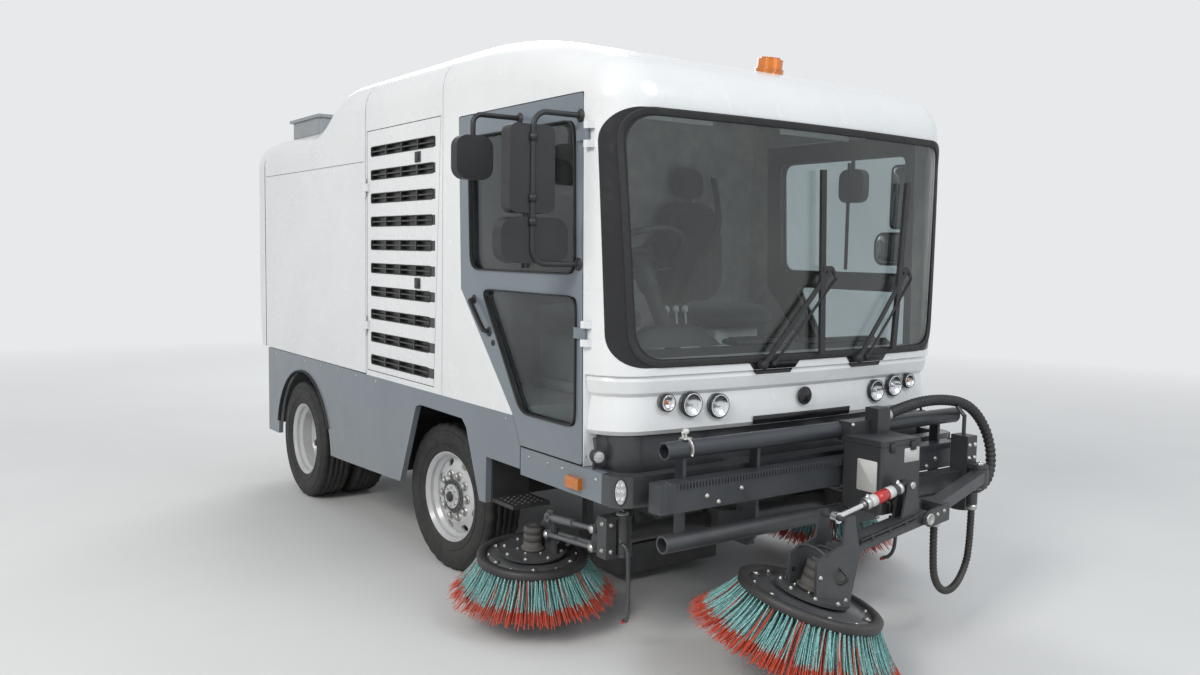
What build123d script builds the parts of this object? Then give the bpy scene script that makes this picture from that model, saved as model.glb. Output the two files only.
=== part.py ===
from build123d import *
from math import asin, cos, pi, radians, sin, sqrt, tan
import os

# Compact road sweeper. Millimetres, +Z up, the ground at z = 0, the front towards -Y.
# Points in this file are (across, along, up) from the centre plane, the front axle and the ground.
# Across is positive on the vehicle's left. at() turns them into the part's own frame.

os.makedirs("parts", exist_ok=True)

# Place of the centre plane and of the front axle in the part's frame
CENTRE_X = 18.0
AXLE_Y = -164.0

# Body
BODY_HALF = 1025.0
WALL = 40.0
ROOF_Z = 2600.0
SHOULDER_R = 190.0
SEAM_Z = 935.0
SKIRT_TOP = 929.0
SKIRT_T = 30.0

# Cab
CAB_REAR = -153.0
CAB_FRONT = -1605.0
CAB_TOE = -1388.0
NOSE_TOE = -1350.0
NOSE_CORNER_R = 215.0
FOOTWELL_REAR = -838.0
FOOTWELL_Z = 800.0
SILL_Z = 1170.0
DOME_START = -350.0
DOME_END_Z = 2320.0
GLASS_T = 8.0
DOOR_HINGE_X = 1037.0
DOOR_HINGE_Y = -1394.0
PIN_R = 6.0
KNUCKLE_R = 11.0
RUN_FIT = 0.05
SEAT_GAP = 0.3

# Engine bay and hopper
BAY_FRONT = -147.0
BAY_REAR = 803.0
HOPPER_FRONT = 815.0
HOPPER_REAR = 2628.0
HOPPER_REAR_Z = 2392.0
CURVE_START = 1080.0
CURVE_END = 1850.0
GATE_FRONT = 2640.0
GATE_REAR = 2765.0
GATE_PIVOT = (2652.0, 2370.0)
GATE_TOP_Z = 2384.0
TIP_PIVOT = (2600.0, 900.0)
TIP_PIN_R = 18.0
BAY_HINGE_X = 1037.0
BAY_HINGE_Y = 796.0

# Wheels and axles
WHEELBASE = 1890.0
TYRE_R = 380.0
TYRE_HALF_W = 105.0
RIM_SEAT_R = 225.0
RIM_FLANGE_R = 238.0
RIM_HALF_W = 88.0
FRONT_TRACK_HALF = 831.0
REAR_OUTER = 921.0
REAR_INNER = 680.0
KINGPIN_X = 665.0
KINGPIN_R = 18.0
SPINDLE_R = 30.0
REST_STEER = 5.5
HAND_HOLES = 8

# Frame
RAIL_IN = 330.0
RAIL_OUT = 400.0
RAIL_BOTTOM = 440.0
RAIL_TOP = 580.0
FRAME_REAR = 2590.0

# Front brush rails and the boom that rides on them
RAIL_TUBE_R = 35.0
RAIL_TUBE_Y = -1725.0
UPPER_TUBE_Z = 905.0
LOWER_TUBE_Z = 545.0
RAIL_HALF = 885.0
BOX_BEAM = (-1765.0, -1695.0, 672.0, 787.0)
MAST = (780.0, -1950.0)
ELBOW = (215.0, -2055.0, 580.0)
HEAD_PIVOT = (-265.0, -2055.0, 515.0)
TILT_EYE = (-290.0, -2055.0, 645.0)
TILT_ROOT = (130.0, -2055.0, 725.0)

# Brushes
SIDE_BRUSH = (950.0, -900.0, 320.0)
SIDE_DISC_R = 247.0
SIDE_TIP_R = 380.0
SIDE_DROP = 190.0
SWING_PIN = (830.0, -1400.0)
FRONT_BRUSH = (-400.0, -2040.0, 358.0)
FRONT_DISC_R = 285.0
FRONT_TIP_R = 435.0
FRONT_DROP = 208.0
DISC_T = 30.0
TUFTS = 40

SIDES = (("right", -1), ("left", 1))


def at(x, y, z):
    """A vehicle point in the part's frame."""
    return (CENTRE_X + x, AXLE_Y + y, z)


def side_at(x):
    """Plane across the vehicle: sketch x runs to the rear, sketch y up, the normal to the left."""
    return Plane(origin=at(x, 0, 0), x_dir=(0, 1, 0), z_dir=(1, 0, 0))


def plan_at(z):
    """Level plane: sketch x and y are the vehicle's."""
    return Plane(origin=at(0, 0, z))


def front_at(y):
    """Upright plane facing forward: sketch x runs to the left, sketch y up."""
    return Plane(origin=at(0, y, 0), x_dir=(1, 0, 0), z_dir=(0, -1, 0))


def along(start, end):
    """Plane at start whose normal runs to end, with its sketch x level."""
    run = Vector(*end) - Vector(*start)
    level = Vector(0, 0, 1).cross(run)
    x_dir = level if level.length > 0.001 else Vector(1, 0, 0)
    return Plane(origin=at(*start), x_dir=x_dir, z_dir=run)


def bar(start, end, radius, mode=Mode.ADD):
    """Round bar or bore between two vehicle points, in the part being built."""
    with BuildSketch(along(start, end)) as section:
        Circle(radius)
    extrude(section.sketch, amount=(Vector(*end) - Vector(*start)).length, mode=mode)


def beam(start, end, width, height, mode=Mode.ADD):
    """Square-edged bar between two vehicle points."""
    with BuildSketch(along(start, end)) as section:
        Rectangle(width, height)
    extrude(section.sketch, amount=(Vector(*end) - Vector(*start)).length, mode=mode)


def block(x0, x1, y0, y1, z0, z1, mode=Mode.ADD):
    """Upright block between two vehicle corners."""
    with BuildSketch(plan_at(min(z0, z1))) as section:
        with Locations(((x0 + x1) / 2, (y0 + y1) / 2)):
            Rectangle(abs(x1 - x0), abs(y1 - y0))
    extrude(section.sketch, amount=abs(z1 - z0), mode=mode)


def plate(x0, x1, points, radius=0.0, mode=Mode.ADD):
    """Plate with a side outline of (along, up) points, from x0 to x1 across."""
    with BuildSketch(side_at(min(x0, x1))) as section:
        with BuildLine():
            Polyline(*points, close=True)
        make_face()
        if radius:
            fillet(section.vertices(), radius)
    extrude(section.sketch, amount=abs(x1 - x0), mode=mode)


def save(piece, label):
    """Label a finished piece and write it."""
    piece.part.label = label
    export_step(piece.part, f"parts/{label}.step")


def nose_line(half, toe, corner_r, front):
    """Plan of the nose, inside a line block: a corner arc, the long front arc and the other corner."""
    depth = toe - front
    reach = half - corner_r
    front_r = (reach**2 + depth**2 - corner_r**2) / (2 * (depth - corner_r))
    lean = asin(reach / (front_r - corner_r))
    end_x = reach + corner_r * sin(lean)
    end_y = toe - corner_r * cos(lean)
    mid = radians(45) + lean / 2
    mid_x = reach + corner_r * sin(mid)
    mid_y = toe - corner_r * cos(mid)
    ThreePointArc((half, toe), (mid_x, mid_y), (end_x, end_y))
    ThreePointArc((end_x, end_y), (0, front), (-end_x, end_y))
    ThreePointArc((-end_x, end_y), (-mid_x, mid_y), (-half, toe))


def nose_y(x, inset=0.0):
    """How far forward the nose reaches at a distance from the centre plane."""
    half = BODY_HALF - inset
    corner_r = NOSE_CORNER_R - inset
    depth = NOSE_TOE - CAB_FRONT - inset
    reach = half - corner_r
    front_r = (reach**2 + depth**2 - corner_r**2) / (2 * (depth - corner_r))
    lean = asin(reach / (front_r - corner_r))
    if abs(x) < reach + corner_r * sin(lean):
        return CAB_FRONT + inset + front_r - sqrt(front_r**2 - x**2)
    return NOSE_TOE - sqrt(corner_r**2 - (abs(x) - reach)**2)


def cab_volume(inset):
    """The cab's outer form, or with an inset the hollow inside its walls."""
    with BuildPart() as volume:
        with BuildSketch(side_at(0)):
            with BuildLine():
                Polyline((DOME_START, ROOF_Z - inset), (CAB_REAR - inset, ROOF_Z - inset),
                         (CAB_REAR - inset, SKIRT_TOP + inset), (FOOTWELL_REAR - inset, SKIRT_TOP + inset),
                         (FOOTWELL_REAR - inset, FOOTWELL_Z + inset), (CAB_TOE + inset, FOOTWELL_Z + inset),
                         (CAB_TOE + inset, SILL_Z + inset), (CAB_FRONT - 45, SILL_Z + inset),
                         (CAB_FRONT - 45, DOME_END_Z - inset))
                TangentArc((DOME_START, ROOF_Z - inset), (CAB_FRONT - 45, DOME_END_Z - inset),
                           tangent=(-1, 0))
            make_face()
        extrude(amount=BODY_HALF, both=True)
        with BuildSketch(plan_at(0)):
            with BuildLine():
                nose_line(BODY_HALF - inset, NOSE_TOE, NOSE_CORNER_R - inset, CAB_FRONT + inset)
                Polyline((-BODY_HALF + inset, NOSE_TOE), (-BODY_HALF + inset, 0),
                         (BODY_HALF - inset, 0), (BODY_HALF - inset, NOSE_TOE))
            make_face()
        extrude(amount=ROOF_Z + WALL, mode=Mode.INTERSECT)
        rim = [edge for edge in volume.edges() if edge.center().Z > 2150 and (
            abs(edge.center().X - CENTRE_X) > 500 or edge.center().Y < AXLE_Y + CAB_TOE)]
        fillet(rim, SHOULDER_R - inset)
    return volume.part


def arch_volume(front, rear, inset):
    """Roof and sides of the engine bay as a full block."""
    with BuildPart() as volume:
        with BuildSketch(front_at(rear)):
            with Locations((0, (SKIRT_TOP + ROOF_Z - inset) / 2)):
                Rectangle(2 * (BODY_HALF - inset), ROOF_Z - inset - SKIRT_TOP)
        extrude(amount=rear - front)
        shoulders = volume.edges().filter_by(Axis.Y).group_by(Axis.Z)[-1]
        fillet(shoulders, SHOULDER_R - inset)
    return volume.part


def hopper_volume(inset):
    """The hopper's outer form, or with an inset its load space, open to the rear."""
    middle = (CURVE_START + CURVE_END) / 2
    rear = HOPPER_REAR + (WALL if inset else 0)
    fall_z = (ROOF_Z + HOPPER_REAR_Z) / 2 - inset
    with BuildPart() as volume:
        with BuildSketch(side_at(0)):
            with BuildLine():
                Polyline((CURVE_START, ROOF_Z - inset), (HOPPER_FRONT + inset, ROOF_Z - inset),
                         (HOPPER_FRONT + inset, SEAM_Z + inset), (rear, SEAM_Z + inset),
                         (rear, HOPPER_REAR_Z - inset), (CURVE_END, HOPPER_REAR_Z - inset))
                TangentArc((CURVE_START, ROOF_Z - inset), (middle, fall_z), tangent=(1, 0))
                TangentArc((CURVE_END, HOPPER_REAR_Z - inset), (middle, fall_z), tangent=(-1, 0))
            make_face()
        extrude(amount=BODY_HALF - inset, both=True)
        shoulders = [edge for edge in volume.edges() if abs(edge.center().X - CENTRE_X) > 500
                     and edge.center().Z > 2300 and edge.center().Y < AXLE_Y + rear - 1
                     and edge.center().Y > AXLE_Y + HOPPER_FRONT + inset + 1]
        fillet(shoulders, SHOULDER_R - inset)
    return volume.part


# Door outlines as (along, up) points
CAB_DOOR = ((-318, 2266), (-351, 1462), (-838, 936), (-905, 806), (-1382, 806), (-1352, 2266))
CAB_DOOR_CUT = ((-314, 2270), (-347, 1464), (-834, 938), (-903, 780), (-1387, 780), (-1356, 2270))
UPPER_LIGHT = ((-420, 2165), (-450, 1560), (-1318, 1560), (-1300, 2165))
LOWER_LIGHT = ((-560, 1470), (-1328, 1470), (-1334, 950), (-915, 950))
BAY_DOOR = ((784, 2290), (784, 962), (-57, 962), (-126, 2290))
BAY_DOOR_CUT = ((788, 2294), (788, 958), (-61, 958), (-130, 2294))

# Hinges: heights of the middle of each one
CAB_HINGES = (1330.0, 2100.0)
BAY_HINGES = (1214.0, 1983.0)
HINGE_HALF = 22.0
HINGE_OUTER = 50.0
HINGE_CLEAR = 0.3


def hinge_fixed(sx, axis_x, axis_y, height, reach):
    """Two outer knuckles, their pin and the leaf behind them, reaching away from the door."""
    for low, high in ((height - HINGE_OUTER, height - HINGE_HALF), (height + HINGE_HALF, height + HINGE_OUTER)):
        bar((sx * axis_x, axis_y, low), (sx * axis_x, axis_y, high), KNUCKLE_R)
        block(sx * (BODY_HALF - 12), sx * (axis_x + 2), axis_y, axis_y + reach, low, high)
    bar((sx * axis_x, axis_y, height - HINGE_OUTER), (sx * axis_x, axis_y, height + HINGE_OUTER), PIN_R)


def hinge_moving(sx, axis_x, axis_y, height, reach):
    """Middle knuckle with its bore and the leaf on the door."""
    low = height - HINGE_HALF + HINGE_CLEAR
    high = height + HINGE_HALF - HINGE_CLEAR
    bar((sx * axis_x, axis_y, low), (sx * axis_x, axis_y, high), KNUCKLE_R)
    block(sx * (BODY_HALF + 0.5), sx * (axis_x + 2), axis_y + copy_sign(8.0, reach), axis_y + reach, low, high)
    block(sx * (BODY_HALF - 3), sx * (axis_x + 2), axis_y + 0.8 * reach, axis_y + reach, low, high)
    bar((sx * axis_x, axis_y, low - 1), (sx * axis_x, axis_y, high + 1), PIN_R + RUN_FIT, Mode.SUBTRACT)


def copy_sign(size, like):
    """The size with the sign of another number."""
    return size if like > 0 else -size


# Cab shell with its door openings, screen opening and fixed hinge halves
cab_outer = cab_volume(0.0)
cab_hollow = cab_volume(WALL)
SCREEN = ((905, 1215), (965, 2190), (-965, 2190), (-905, 1215))
SCREEN_R = 110.0

with BuildPart() as cab_shell:
    add(cab_outer)
    add(cab_hollow, mode=Mode.SUBTRACT)
    with BuildSketch(front_at(CAB_TOE + WALL)) as screen_opening:
        with BuildLine():
            Polyline(*SCREEN, close=True)
        make_face()
        fillet(screen_opening.vertices(), SCREEN_R)
    extrude(amount=400, mode=Mode.SUBTRACT)
    for side, sx in SIDES:
        plate(sx * (BODY_HALF - WALL - 5), sx * (BODY_HALF + 5), CAB_DOOR_CUT, 12, Mode.SUBTRACT)
        block(sx * (BODY_HALF - SKIRT_T), sx * (BODY_HALF + 5), -910, FOOTWELL_REAR, FOOTWELL_Z - 5, SKIRT_TOP,
              Mode.SUBTRACT)
        for height in CAB_HINGES:
            hinge_fixed(sx, DOOR_HINGE_X, DOOR_HINGE_Y, height, -26.0)
save(cab_shell, "cab_shell")

# Windscreen: one curved pane in the opening
PANE_INSET = 4.0
with BuildPart() as windscreen:
    with BuildLine(plan_at(0)) as screen_path:
        nose_line(BODY_HALF - PANE_INSET, NOSE_TOE, NOSE_CORNER_R - PANE_INSET, CAB_FRONT + PANE_INSET)
    with BuildSketch(Plane(origin=at(BODY_HALF - PANE_INSET, NOSE_TOE, 0), x_dir=(1, 0, 0), z_dir=(0, -1, 0))):
        with Locations((-GLASS_T / 2, 1700)):
            Rectangle(GLASS_T, 1100)
    sweep(path=screen_path.line)
    with BuildSketch(front_at(CAB_TOE + WALL)) as pane_outline:
        with BuildLine():
            Polyline(*SCREEN, close=True)
        make_face()
        fillet(pane_outline.vertices(), SCREEN_R)
        offset(amount=-0.3, mode=Mode.REPLACE)
    extrude(amount=400, mode=Mode.INTERSECT)
save(windscreen, "windscreen")

# Front fascia: a moulded band carried round the nose, with pockets for the lamps
FASCIA_HALF = 1010.0
# offset from the nose line, height
FASCIA_SECTION = ((-45, 932), (-14, 932), (0, 950), (-5, 1000), (-16, 1084), (-3, 1100), (8, 1148), (2, SILL_Z - 2),
                  (-45, SILL_Z - 2))
# across, height, radius
LAMPS = ((743, 1059, 35), (625, 1045, 50), (487, 1031, 50))
LAMP_DEPTH = 26.0
with BuildPart() as front_fascia:
    with BuildLine(plan_at(0)) as fascia_path:
        nose_line(FASCIA_HALF, NOSE_TOE, NOSE_CORNER_R - 15, CAB_FRONT + 13)
    with BuildSketch(Plane(origin=at(FASCIA_HALF, NOSE_TOE, 0), x_dir=(1, 0, 0), z_dir=(0, -1, 0))):
        with BuildLine():
            Polyline(*FASCIA_SECTION, close=True)
        make_face()
    sweep(path=fascia_path.line)
    block(-BODY_HALF, BODY_HALF, CAB_TOE - SEAT_GAP, 0, 900, SILL_Z, Mode.SUBTRACT)
    for side, sx in SIDES:
        for across, height, radius in LAMPS:
            face_y = nose_y(across) + 24
            bar((sx * across, face_y - 40, height), (sx * across, face_y + LAMP_DEPTH, height),
                radius + 0.3, Mode.SUBTRACT)
save(front_fascia, "front_fascia")

with BuildPart() as headlamps:
    for side, sx in SIDES:
        for across, height, radius in LAMPS:
            face_y = nose_y(across) + 24
            bar((sx * across, face_y + LAMP_DEPTH - 0.3, height), (sx * across, face_y - 8, height), radius)
            bar((sx * across, face_y - 8, height), (sx * across, face_y - 14, height), radius - 8)
save(headlamps, "headlamps")

# Cab doors, their glass and their mirrors
for side, sx in SIDES:
    with BuildPart() as cab_door:
        plate(sx * (BODY_HALF - WALL), sx * BODY_HALF, CAB_DOOR, 12)
        plate(sx * (BODY_HALF - WALL - 5), sx * (BODY_HALF + 5), UPPER_LIGHT, 45, Mode.SUBTRACT)
        plate(sx * (BODY_HALF - WALL - 5), sx * (BODY_HALF + 5), LOWER_LIGHT, 30, Mode.SUBTRACT)
        for height in CAB_HINGES:
            hinge_moving(sx, DOOR_HINGE_X, DOOR_HINGE_Y, height, 65.0)
    save(cab_door, f"cab_door_{side}")

    with BuildPart() as door_glass:
        for light, radius in ((UPPER_LIGHT, 45), (LOWER_LIGHT, 30)):
            with BuildSketch(side_at(sx * (BODY_HALF - WALL / 2) - GLASS_T / 2)) as pane:
                with BuildLine():
                    Polyline(*light, close=True)
                make_face()
                fillet(pane.vertices(), radius)
                offset(amount=-0.2, mode=Mode.REPLACE)
            extrude(amount=GLASS_T)
    save(door_glass, f"door_glass_{side}")

# Mirrors on the doors: the right ones stand out, the left ones lie folded back along the door
MIRROR_TUBE_R = 11.0
MIRROR_FOOT_Y = -1338.0
KERB_FOOT = (-876.0, 2209.0)


def mirror_bar(points, radius):
    """Bent tube through vehicle points."""
    with BuildLine() as line:
        FilletPolyline(*[at(*point) for point in points], radius=radius)
    with BuildSketch(Plane(origin=line.line @ 0, z_dir=line.line % 0)) as section:
        Circle(MIRROR_TUBE_R)
    sweep(section.sketch, path=line.line)


def mirror_case(plane, middle, width, height, depth, corner):
    """Rounded case drawn on an upright plane."""
    with BuildSketch(plane) as outline:
        with Locations(middle):
            RectangleRounded(width, height, corner)
    extrude(outline.sketch, amount=depth)


with BuildPart() as mirror_right:
    foot = -BODY_HALF - 0.3
    mirror_bar(((foot, MIRROR_FOOT_Y, 2177), (-1240, MIRROR_FOOT_Y, 2177), (-1240, MIRROR_FOOT_Y, 1600),
                (foot, MIRROR_FOOT_Y, 1600)), 60)
    mirror_case(front_at(-1270), (-1240, 1960), 200, 335, 66, 34)
    mirror_case(front_at(-1270), (-1225, 1690), 300, 175, 66, 60)
    mirror_bar(((foot, *KERB_FOOT), (-1250, *KERB_FOOT), (-1250, KERB_FOOT[0], 2080)), 40)
    mirror_case(front_at(-845), (-1250, 2030), 170, 180, 52, 50)
save(mirror_right, "mirror_right")

with BuildPart() as mirror_left:
    foot = BODY_HALF + 0.3
    mirror_bar(((foot, MIRROR_FOOT_Y, 2177), (1090, MIRROR_FOOT_Y, 2177), (1090, MIRROR_FOOT_Y, 1600),
                (foot, MIRROR_FOOT_Y, 1600)), 32)
    mirror_case(side_at(1080), (-1240, 1960), 200, 335, 60, 34)
    mirror_case(side_at(1080), (-1195, 1690), 300, 175, 60, 60)
    mirror_bar(((foot, *KERB_FOOT), (1085, *KERB_FOOT), (1085, KERB_FOOT[0], 2080)), 30)
    mirror_case(side_at(1070), (KERB_FOOT[0], 2030), 170, 180, 50, 50)
save(mirror_left, "mirror_left")

# Engine bay cover and its louvred doors
LOUVRES = 10
LOUVRE_TOP = 2200.0
LOUVRE_PITCH = 128.0
LOUVRE_H = 47.0
LOUVRE_SLOTS = 4
SLAT_T = 7.0
LOUVRE_DEPTH = 26.0
LOUVRE_FRONT = -60.0
LOUVRE_LEAN = 60.0
LOUVRE_REAR = 728.0


def louvre_row(row):
    """Front, rear and top of each slot in a row, the rows growing shorter down the leaning edge."""
    top = LOUVRE_TOP - row * LOUVRE_PITCH
    front = LOUVRE_FRONT + LOUVRE_LEAN * row / (LOUVRES - 1)
    slot = (LOUVRE_REAR - front) / LOUVRE_SLOTS
    return [(front + place * slot + 6, front + (place + 1) * slot - 6, top) for place in range(LOUVRE_SLOTS)]


with BuildPart() as engine_cover:
    add(arch_volume(BAY_FRONT, BAY_REAR, 0.0))
    add(arch_volume(BAY_FRONT - 1, BAY_REAR + 1, WALL), mode=Mode.SUBTRACT)
    block(-BODY_HALF + WALL, BODY_HALF - WALL, BAY_FRONT - 1, BAY_REAR + 1, SKIRT_TOP - 1, 1500, Mode.SUBTRACT)
    for side, sx in SIDES:
        plate(sx * (BODY_HALF - WALL - 5), sx * (BODY_HALF + 5), BAY_DOOR_CUT, 0, Mode.SUBTRACT)
        for height in BAY_HINGES:
            hinge_fixed(sx, BAY_HINGE_X, BAY_HINGE_Y, height, 6.5)
save(engine_cover, "engine_cover")

for side, sx in SIDES:
    with BuildPart() as engine_door:
        plate(sx * (BODY_HALF - WALL), sx * BODY_HALF, BAY_DOOR)
        outer = sx * BODY_HALF
        with BuildSketch(side_at(outer)) as slots:
            for row in range(LOUVRES):
                for y0, y1, top in louvre_row(row):
                    with Locations(((y0 + y1) / 2, top - LOUVRE_H / 2)):
                        Rectangle(y1 - y0, LOUVRE_H)
        extrude(slots.sketch, amount=-sx * LOUVRE_DEPTH, mode=Mode.SUBTRACT)
        with BuildSketch(side_at(outer - sx * 2)) as slats:
            for row in range(LOUVRES):
                for y0, y1, top in louvre_row(row):
                    with Locations(((y0 + y1) / 2, top - LOUVRE_H / 2)):
                        Rectangle(y1 - y0 + 2, SLAT_T)
        extrude(slats.sketch, amount=-sx * (LOUVRE_DEPTH - 1))
        for height in BAY_HINGES:
            hinge_moving(sx, BAY_HINGE_X, BAY_HINGE_Y, height, -40.0)
    save(engine_door, f"engine_door_{side}")

# Hopper, its tailgate and the outlet box on its rear roof
EAR_X = 700.0
EAR_HALF = 12.0
EAR_R = 14.0
GATE_PIN_R = 8.0
LUG_IN = 365.0
LUG_OUT = 395.0
with BuildPart() as hopper_body:
    add(hopper_volume(0.0))
    add(hopper_volume(WALL), mode=Mode.SUBTRACT)
    for side, sx in SIDES:
        plate(sx * (EAR_X - EAR_HALF), sx * (EAR_X + EAR_HALF), (
            (HOPPER_REAR - 40, GATE_PIVOT[1] - EAR_R), (GATE_PIVOT[0], GATE_PIVOT[1] - EAR_R),
            (GATE_PIVOT[0], GATE_PIVOT[1] + EAR_R), (HOPPER_REAR - 40, GATE_PIVOT[1] + EAR_R)))
        bar((sx * (EAR_X - EAR_HALF), *GATE_PIVOT), (sx * (EAR_X + EAR_HALF), *GATE_PIVOT), EAR_R)
        bar((sx * (EAR_X - EAR_HALF - 20), *GATE_PIVOT), (sx * (EAR_X + EAR_HALF + 20), *GATE_PIVOT), GATE_PIN_R)
        plate(sx * LUG_IN, sx * LUG_OUT, ((TIP_PIVOT[0] - 60, SEAM_Z + 1), (TIP_PIVOT[0] - 26, TIP_PIVOT[1] - 12),
              (TIP_PIVOT[0] + 20, TIP_PIVOT[1] - 16), (TIP_PIVOT[0] + 27, SEAM_Z + 1)))
        bar((sx * LUG_IN, *TIP_PIVOT), (sx * LUG_OUT, *TIP_PIVOT), 28)
        bar((sx * (LUG_IN - 5), *TIP_PIVOT), (sx * (LUG_OUT + 5), *TIP_PIVOT), TIP_PIN_R + RUN_FIT, Mode.SUBTRACT)
save(hopper_body, "hopper_body")

NOTCH_R = 34.0
with BuildPart() as tailgate:
    with BuildSketch(side_at(0)):
        with BuildLine():
            Polyline((GATE_FRONT, SEAM_Z), (GATE_FRONT, GATE_TOP_Z), (GATE_FRONT + 30, GATE_TOP_Z))
            ThreePointArc((GATE_FRONT + 30, GATE_TOP_Z), (GATE_FRONT + 95, GATE_TOP_Z - 30),
                          (GATE_REAR - 3, GATE_TOP_Z - 110))
            Polyline((GATE_REAR - 3, GATE_TOP_Z - 110), (GATE_REAR, 1250), (GATE_REAR - 42, SEAM_Z),
                     (GATE_FRONT, SEAM_Z))
        make_face()
    extrude(amount=BODY_HALF, both=True)
    with BuildSketch(front_at(GATE_FRONT - 10)) as gate_face:
        with Locations((0, (SEAM_Z + GATE_TOP_Z) / 2)):
            Rectangle(2 * BODY_HALF, GATE_TOP_Z - SEAM_Z)
        fillet(gate_face.vertices().group_by(Axis.Y)[-1], SHOULDER_R)
    extrude(amount=-200, mode=Mode.INTERSECT)
    block(-BODY_HALF + 120, BODY_HALF - 120, GATE_FRONT - 1, GATE_REAR - WALL - 42, SEAM_Z + 60, GATE_TOP_Z - 120,
          Mode.SUBTRACT)
    for side, sx in SIDES:
        bar((sx * (EAR_X - EAR_HALF - 6), *GATE_PIVOT), (sx * (EAR_X + EAR_HALF + 6), *GATE_PIVOT), NOTCH_R,
            Mode.SUBTRACT)
        bar((sx * (EAR_X - EAR_HALF - 21), *GATE_PIVOT), (sx * (EAR_X + EAR_HALF + 21), *GATE_PIVOT),
            GATE_PIN_R + RUN_FIT, Mode.SUBTRACT)
save(tailgate, "tailgate")

OUTLET_HALF = 430.0
with BuildPart() as roof_outlet:
    block(-870, -10, 1960, 2500, HOPPER_REAR_Z, 2508)
    fillet(roof_outlet.edges().filter_by(Axis.Z), 30)
    block(-885, 5, 1945, 2515, 2500, 2520)
save(roof_outlet, "roof_outlet")

# Side skirts with both wheel arches
REAR_ARCH = (1875.0, 330.0, 500.0)
SKIRT = ((FRAME_REAR, SKIRT_TOP), (FOOTWELL_REAR, SKIRT_TOP), (-905, 800), (-905, 702), (-604, 702),
         (-600, 486), (-540, 484), (-405, 810), (-364, 845), (99, 849), (150, 832), (345, 400), (1268, 362),
         (FRAME_REAR, 341))
with BuildPart() as side_skirts:
    for side, sx in SIDES:
        plate(sx * (BODY_HALF - SKIRT_T), sx * BODY_HALF, SKIRT)
        bar((sx * (BODY_HALF - SKIRT_T - 5), REAR_ARCH[0], REAR_ARCH[1]),
            (sx * (BODY_HALF + 5), REAR_ARCH[0], REAR_ARCH[1]), REAR_ARCH[2], Mode.SUBTRACT)
save(side_skirts, "side_skirts")

# Wheel housings and the boarding steps
LINER_T = 8.0
LINER_IN = 570.0
FRONT_LINER = ((490, 420), (490, 700), (335, 851), (-366, 851), (-412, 814), (-545, 490),
               (-545 - LINER_T, 490), (-412 - LINER_T, 814 + LINER_T / 2), (-366 - LINER_T / 2, 851 + LINER_T),
               (335 + LINER_T / 2, 851 + LINER_T), (490 + LINER_T, 700 + LINER_T / 2), (490 + LINER_T, 420))
STEP_IN = 800.0
with BuildPart() as wheel_housings:
    for side, sx in SIDES:
        inner = sx * LINER_IN
        outer = sx * (BODY_HALF - SKIRT_T)
        bar((inner, REAR_ARCH[0], REAR_ARCH[1]), (outer, REAR_ARCH[0], REAR_ARCH[1]), REAR_ARCH[2] + LINER_T)
        bar((inner, REAR_ARCH[0], REAR_ARCH[1]), (outer, REAR_ARCH[0], REAR_ARCH[1]), REAR_ARCH[2],
            Mode.SUBTRACT)
        block(inner, outer, REAR_ARCH[0] - 600, REAR_ARCH[0] + 600, REAR_ARCH[1] - 600, 420, Mode.SUBTRACT)
        plate(inner, outer, FRONT_LINER)
        plate(sx * STEP_IN, outer, ((-604 - SEAT_GAP, 490), (-800, 490), (-800, 508), (-614, 508),
              (-614, 700), (-604 - SEAT_GAP, 700)))
save(wheel_housings, "wheel_housings")

# Bumper: a beam round the front with the recessed panel above it and its posts on the frame
BUMPER_TOP = 798.0
BUMPER_BOTTOM = 678.0
with BuildPart() as front_bumper:
    with BuildSketch(plan_at(BUMPER_BOTTOM)) as bumper_plan:
        with BuildLine():
            Polyline((BODY_HALF, -912), (BODY_HALF, -1570))
            ThreePointArc((BODY_HALF, -1570), (1008, -1612), (960, -1638))
            ThreePointArc((960, -1638), (0, -1667), (-960, -1638))
            ThreePointArc((-960, -1638), (-1008, -1612), (-BODY_HALF, -1570))
            Polyline((-BODY_HALF, -1570), (-BODY_HALF, -912), (-BODY_HALF + 60, -912), (-BODY_HALF + 60, -1540),
                     (-900, -1585), (900, -1585), (BODY_HALF - 60, -1540), (BODY_HALF - 60, -912), (BODY_HALF, -912))
        make_face()
    extrude(amount=BUMPER_TOP - BUMPER_BOTTOM)
    with BuildSketch(plan_at(BUMPER_TOP - 40)) as panel_plan:
        with BuildLine():
            nose_line(960, CAB_TOE - SEAT_GAP, 140, -1545)
            Line((-960, CAB_TOE - SEAT_GAP), (-920, CAB_TOE - SEAT_GAP))
            Line((960, CAB_TOE - SEAT_GAP), (920, CAB_TOE - SEAT_GAP))
            nose_line(920, CAB_TOE - SEAT_GAP, 100, -1505)
        make_face()
    extrude(amount=928 - BUMPER_TOP + 40)
    for side, sx in SIDES:
        block(sx * 340, sx * 380, -1640, -1590, 560, BUMPER_BOTTOM + 5)
        block(sx * 300, sx * 420, -1600, -1500, BUMPER_TOP - 40, BUMPER_TOP)
save(front_bumper, "front_bumper")

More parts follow.
